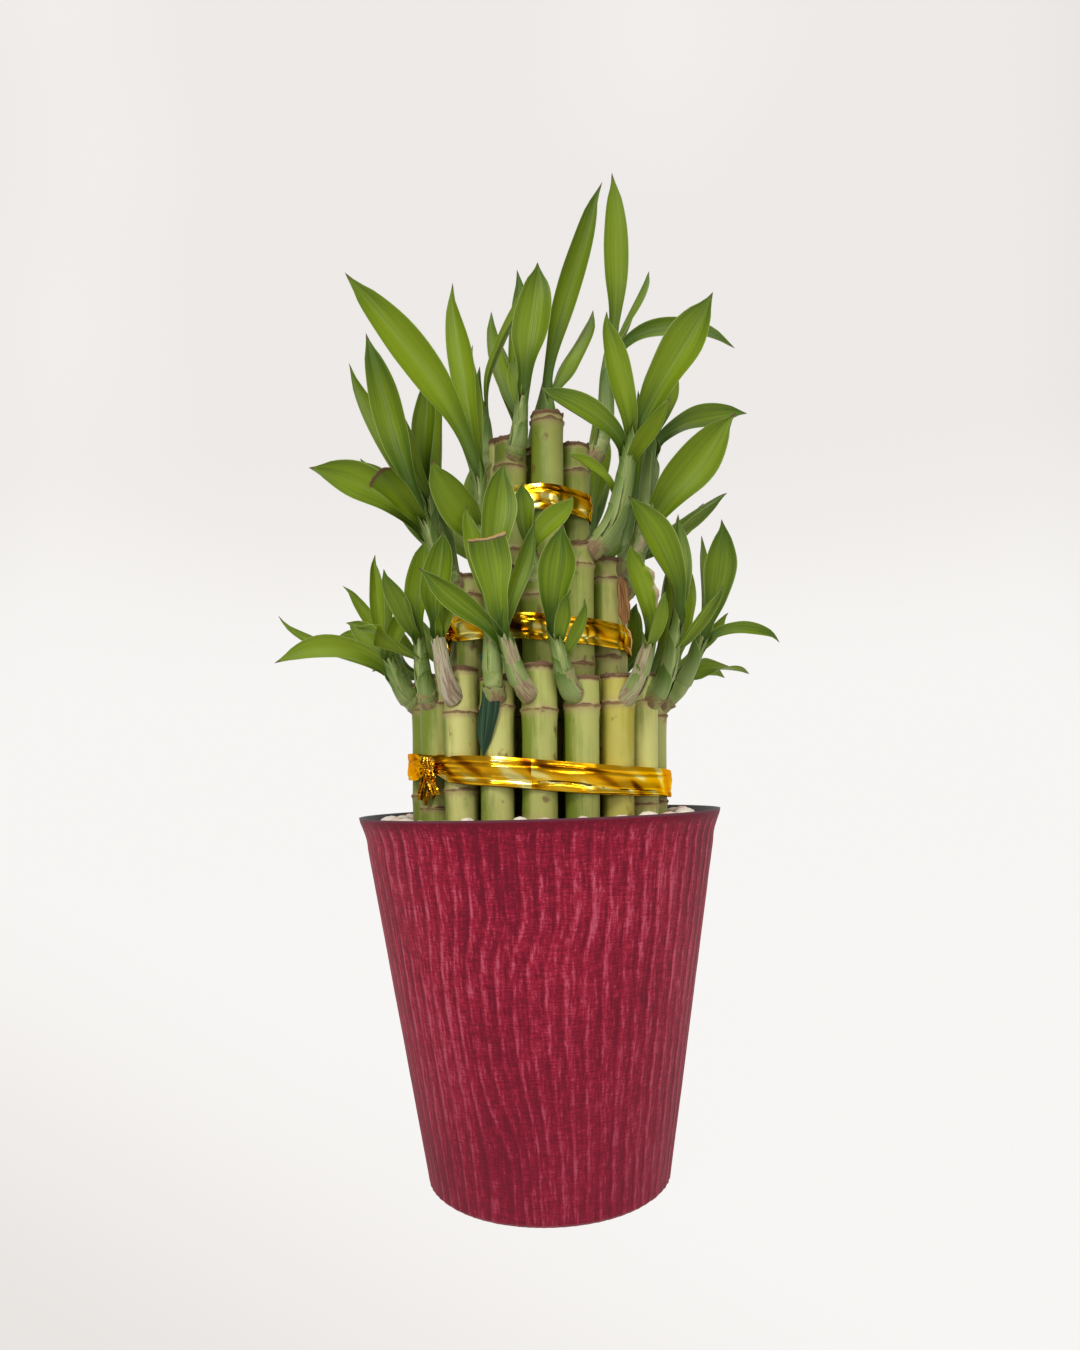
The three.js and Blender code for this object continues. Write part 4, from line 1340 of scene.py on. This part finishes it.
class BAMBOO_OT_ribbons(bpy.types.Operator):
    """Adds the foil ribbons with their knots"""

    bl_idname = "bamboo.ribbons"
    bl_label = "Foil ribbons"

    def execute(self, context):
        settings = context.scene.bamboo_foil
        material = foil_material(settings)
        for number, tier in enumerate(RIBBONS):
            body = Body()
            self.band(body, tier, settings.crease / MM, number)
            self.knot(body, tier, number)
            body.finish(f"foil_ribbon_{tier}", [material], f"ribbon_{tier}", "foil", sharp=32)
        return {"FINISHED"}

    @staticmethod
    def band(body, tier, crease, number):
        """The band, creased lengthwise and pinched in towards its knot."""
        ribbon = RIBBONS[tier]
        path = ribbon_path(tier)
        knot = polar(1, ribbon["knot"], 0)

        def side(turn, station):
            spot, out = path[round(station * (len(path) - 1))]
            angle = math.atan2(spot.x, -spot.y)
            front, v = blade_place(turn)
            near = math.exp(-((1 - spot.normalized().dot(knot)) / 0.012))
            wander = ring_lumps(angle, 2, number * 5)
            first = bell((v - 0.58 - wander * 0.3) / 0.09)
            second = bell((v + 0.5 - wander * 0.5) / 0.08)
            height = ribbon["width"] / 2 * 0.94 * (1 - 0.72 * near) * (1 + 0.04 * wander)
            sag = -0.35 * ring_lumps(angle, 1.5, number * 9 + 2)
            bulge = 0.3 * (1 - v * v) + 0.15 * math.sin(v * 4 + wander * 4)
            outwards = 0.25 + bulge - crease * 1.6 * (first + second) + 0.5 * near * math.cos(v * 14)
            outwards = max(0.12, outwards) + 0.05 * front
            place = spot + out * outwards
            place.z = ribbon["height"] + ribbon["tilt"] * place.x + v * height + sag
            return place, 0.5 - 0.5 * first + 0.5 * second

        length = sum((b - a).length for (a, _), (b, _) in zip(path, path[1:]))
        body.skin(steps(len(path) - 1), 48, side, tone=length / 550)

    @staticmethod
    def knot(body, tier, number):
        """A gathered, puckered knot with two short tails."""
        ribbon, sizes = RIBBONS[tier], TIERS[tier]
        clear = sizes["radius"] + RIDGE + GAP
        reach = sizes["ring"] * math.cos(math.pi / sizes["count"]) + clear
        out = polar(1, ribbon["knot"], 0)
        across = Vector((-out.y, out.x, 0))
        up = Vector((0, 0, 1))
        centre = out * (reach + 1.6)
        centre.z = ribbon["height"] + ribbon["tilt"] * centre.x
        wide = ribbon["width"]

        def head(turn, s):
            angle = 2 * math.pi * turn
            polar_angle = math.pi * s
            pleat = 1 + 0.17 * math.cos(angle * 9 + s * 3) + 0.25 * ring_lumps(angle, 2, s * 4 + number * 7)
            radius = wide * 0.27 * math.sin(polar_angle) ** 0.8 * pleat * (1 - 0.45 * bell((s - 0.55) / 0.13))
            if s in (0, 1):
                radius = 0
            lengthwise = wide * 0.42 * math.cos(polar_angle)
            spot = up * lengthwise + across * (radius * math.cos(angle))
            spot = spot + out * (radius * math.sin(angle) * 0.8)
            return centre + spot + across * (lengthwise * -0.25), 0.5 + 0.5 * math.cos(angle * 9)

        body.skin(steps(18), 44, head, tone=1.0)
        for tilt, length, seed in ((0.42, 1.25, 3), (-0.32, 1.0, 8)):
            tip = centre - up * (wide * length) * math.cos(tilt) - across * (wide * length * math.sin(tilt))
            tip = tip - out * 0.9
            curve = Curve(centre, centre - up * 2 + out * 0.6, centre.lerp(tip, 0.7) + out * 0.5, tip)

            def tail(turn, s, curve=curve, seed=seed):
                spot, along, side_way, face = frame_of(curve, s, out)
                front, v = blade_place(turn)
                half = wide * lerp(0.1, 0.24, smooth(0, 0.6, s))
                pleat = 0.35 * math.sin(v * 8 + seed + s * 4) + 0.2 * math.sin(v * 17 + seed)
                notch = along * (-1.1 * (1 - abs(v)) * smooth(0.9, 1, s))
                spot = spot + side_way * (v * half) + face * (pleat + 0.06 * front) + notch
                return spot, 0.5 + 0.5 * pleat

            body.skin(steps(12), 28, tail, tone=1.0)
        body.fill_holes()


# The stage

class BAMBOO_OT_stage(bpy.types.Operator):
    """Adds the pale floor that curves up into a backdrop, the lights and the camera"""

    bl_idname = "bamboo.stage"
    bl_label = "Stage"

    def execute(self, context):
        settings = context.scene.bamboo_stage
        context.scene.view_settings.view_transform = "Standard"
        self.floor(settings)
        self.lights(settings)
        self.camera(context, settings)
        return {"FINISHED"}

    @staticmethod
    def floor(settings):
        """A wide round floor whose rim curves up into a backdrop."""
        flat, bend, wall = 2.4, 1.0, 3.4
        mesh = bmesh.new()
        points = [(flat * k / 6, 0) for k in range(7)]
        for k in range(1, 13):
            angle = math.pi / 2 * k / 12
            points.append((flat + bend * math.sin(angle), bend * (1 - math.cos(angle))))
        points.append((flat + bend, wall))
        verts = [mesh.verts.new((radius, 0, z)) for radius, z in points]
        edges = [mesh.edges.new(pair) for pair in zip(verts, verts[1:])]
        bmesh.ops.spin(
            mesh, geom=verts + edges, cent=(0, 0, 0), axis=(0, 0, 1), angle=2 * math.pi, steps=96,
            use_merge=True,
        )
        bmesh.ops.remove_doubles(mesh, verts=mesh.verts, dist=1e-5)
        bmesh.ops.recalc_face_normals(mesh, faces=mesh.faces)
        if sum(face.normal.z for face in mesh.faces) < 0:
            bmesh.ops.reverse_faces(mesh, faces=mesh.faces)
        for face in mesh.faces:
            face.smooth = True
        data = bpy.data.meshes.new("studio_floor")
        mesh.to_mesh(data)
        mesh.free()
        data.materials.append(stage_material(settings))
        add_object("studio_floor", data)

    @staticmethod
    def lights(settings):
        """Large soft lights over and beside the plant, and two small ones for the foil's glints."""
        aim = Vector((0, 0, 0.16))
        rig = [
            ("soft_key", (-0.5, -1.5, 1.4), 0.8, 17),
            ("soft_fill", (1.2, -1.3, 0.8), 0.9, 3),
            ("soft_top", (0.1, -0.3, 2.0), 1.0, 13),
            ("glint_left", (-0.55, -1.0, 0.35), 0.12, 1.4),
            ("glint_right", (0.5, -1.1, 0.3), 0.1, 1.0),
        ]
        for name, spot, size, energy in rig:
            light = bpy.data.lights.new(name, "AREA")
            light.shape = "DISK"
            light.size = size
            light.energy = energy * settings.light
            lamp = add_object(name, light)
            lamp.location = spot
            lamp.rotation_euler = (aim - Vector(spot)).to_track_quat("-Z", "Y").to_euler()
        world = bpy.data.worlds.new("studio_air")
        world.use_nodes = True
        air = world.node_tree.nodes["Background"]
        air.inputs["Color"].default_value = (0.95, 0.97, 1.0, 1.0)
        air.inputs["Strength"].default_value = 0.2
        bpy.context.scene.world = world

    @staticmethod
    def camera(context, settings):
        """A level camera that looks along +Y, a little rolled, with the frame shifted up."""
        photo_height, eye_below_middle, eye_left_of_middle = 1350, 103.6, 1.3
        data = bpy.data.cameras.new("front_camera")
        data.sensor_fit = "VERTICAL"
        data.sensor_height = 36
        data.sensor_width = 28.8
        data.lens = settings.lens
        data.shift_y = eye_below_middle / photo_height
        data.shift_x = eye_left_of_middle / photo_height
        data.clip_start = 0.01
        data.clip_end = 50
        camera = add_object("front_camera", data)
        camera.location = (0, -settings.distance, settings.eye)
        look = Matrix.Rotation(math.pi / 2, 3, "X") @ Matrix.Rotation(-settings.roll, 3, "Z")
        camera.rotation_euler = look.to_euler()
        context.scene.camera = camera


class BAMBOO_PT_panel(bpy.types.Panel):
    """Lists the pieces and their settings"""

    bl_idname = "BAMBOO_PT_panel"
    bl_label = "Lucky bamboo"
    bl_space_type = "VIEW_3D"
    bl_region_type = "UI"
    bl_category = "Bamboo"

    def draw(self, context):
        for operator, group in PARTS:
            box = self.layout.box()
            box.operator(operator.bl_idname)
            if group:
                settings = getattr(context.scene, group)
                for name in settings.__annotations__:
                    box.prop(settings, name)


GROUPS = {
    "bamboo_pot": PotSettings,
    "bamboo_canes": CaneSettings,
    "bamboo_leaves": LeafSettings,
    "bamboo_foil": FoilSettings,
    "bamboo_pebbles": PebbleSettings,
    "bamboo_stage": StageSettings,
}
PARTS = [
    (BAMBOO_OT_stage, "bamboo_stage"),
    (BAMBOO_OT_pot, "bamboo_pot"),
    (BAMBOO_OT_soil, None),
    (BAMBOO_OT_pebbles, "bamboo_pebbles"),
    (BAMBOO_OT_canes, "bamboo_canes"),
    (BAMBOO_OT_ribbons, "bamboo_foil"),
]
CLASSES = [*GROUPS.values(), *(operator for operator, _ in PARTS), BAMBOO_PT_panel]


def register():
    for item in CLASSES:
        bpy.utils.register_class(item)
    for name, group in GROUPS.items():
        setattr(bpy.types.Scene, name, PointerProperty(type=group))


def unregister():
    for name in GROUPS:
        delattr(bpy.types.Scene, name)
    for item in reversed(CLASSES):
        bpy.utils.unregister_class(item)


def main():
    register()
    bpy.ops.bamboo.stage()
    bpy.ops.bamboo.pot()
    bpy.ops.bamboo.soil()
    bpy.ops.bamboo.pebbles()
    bpy.ops.bamboo.canes()
    bpy.ops.bamboo.ribbons()


if __name__ == "__main__":
    main()
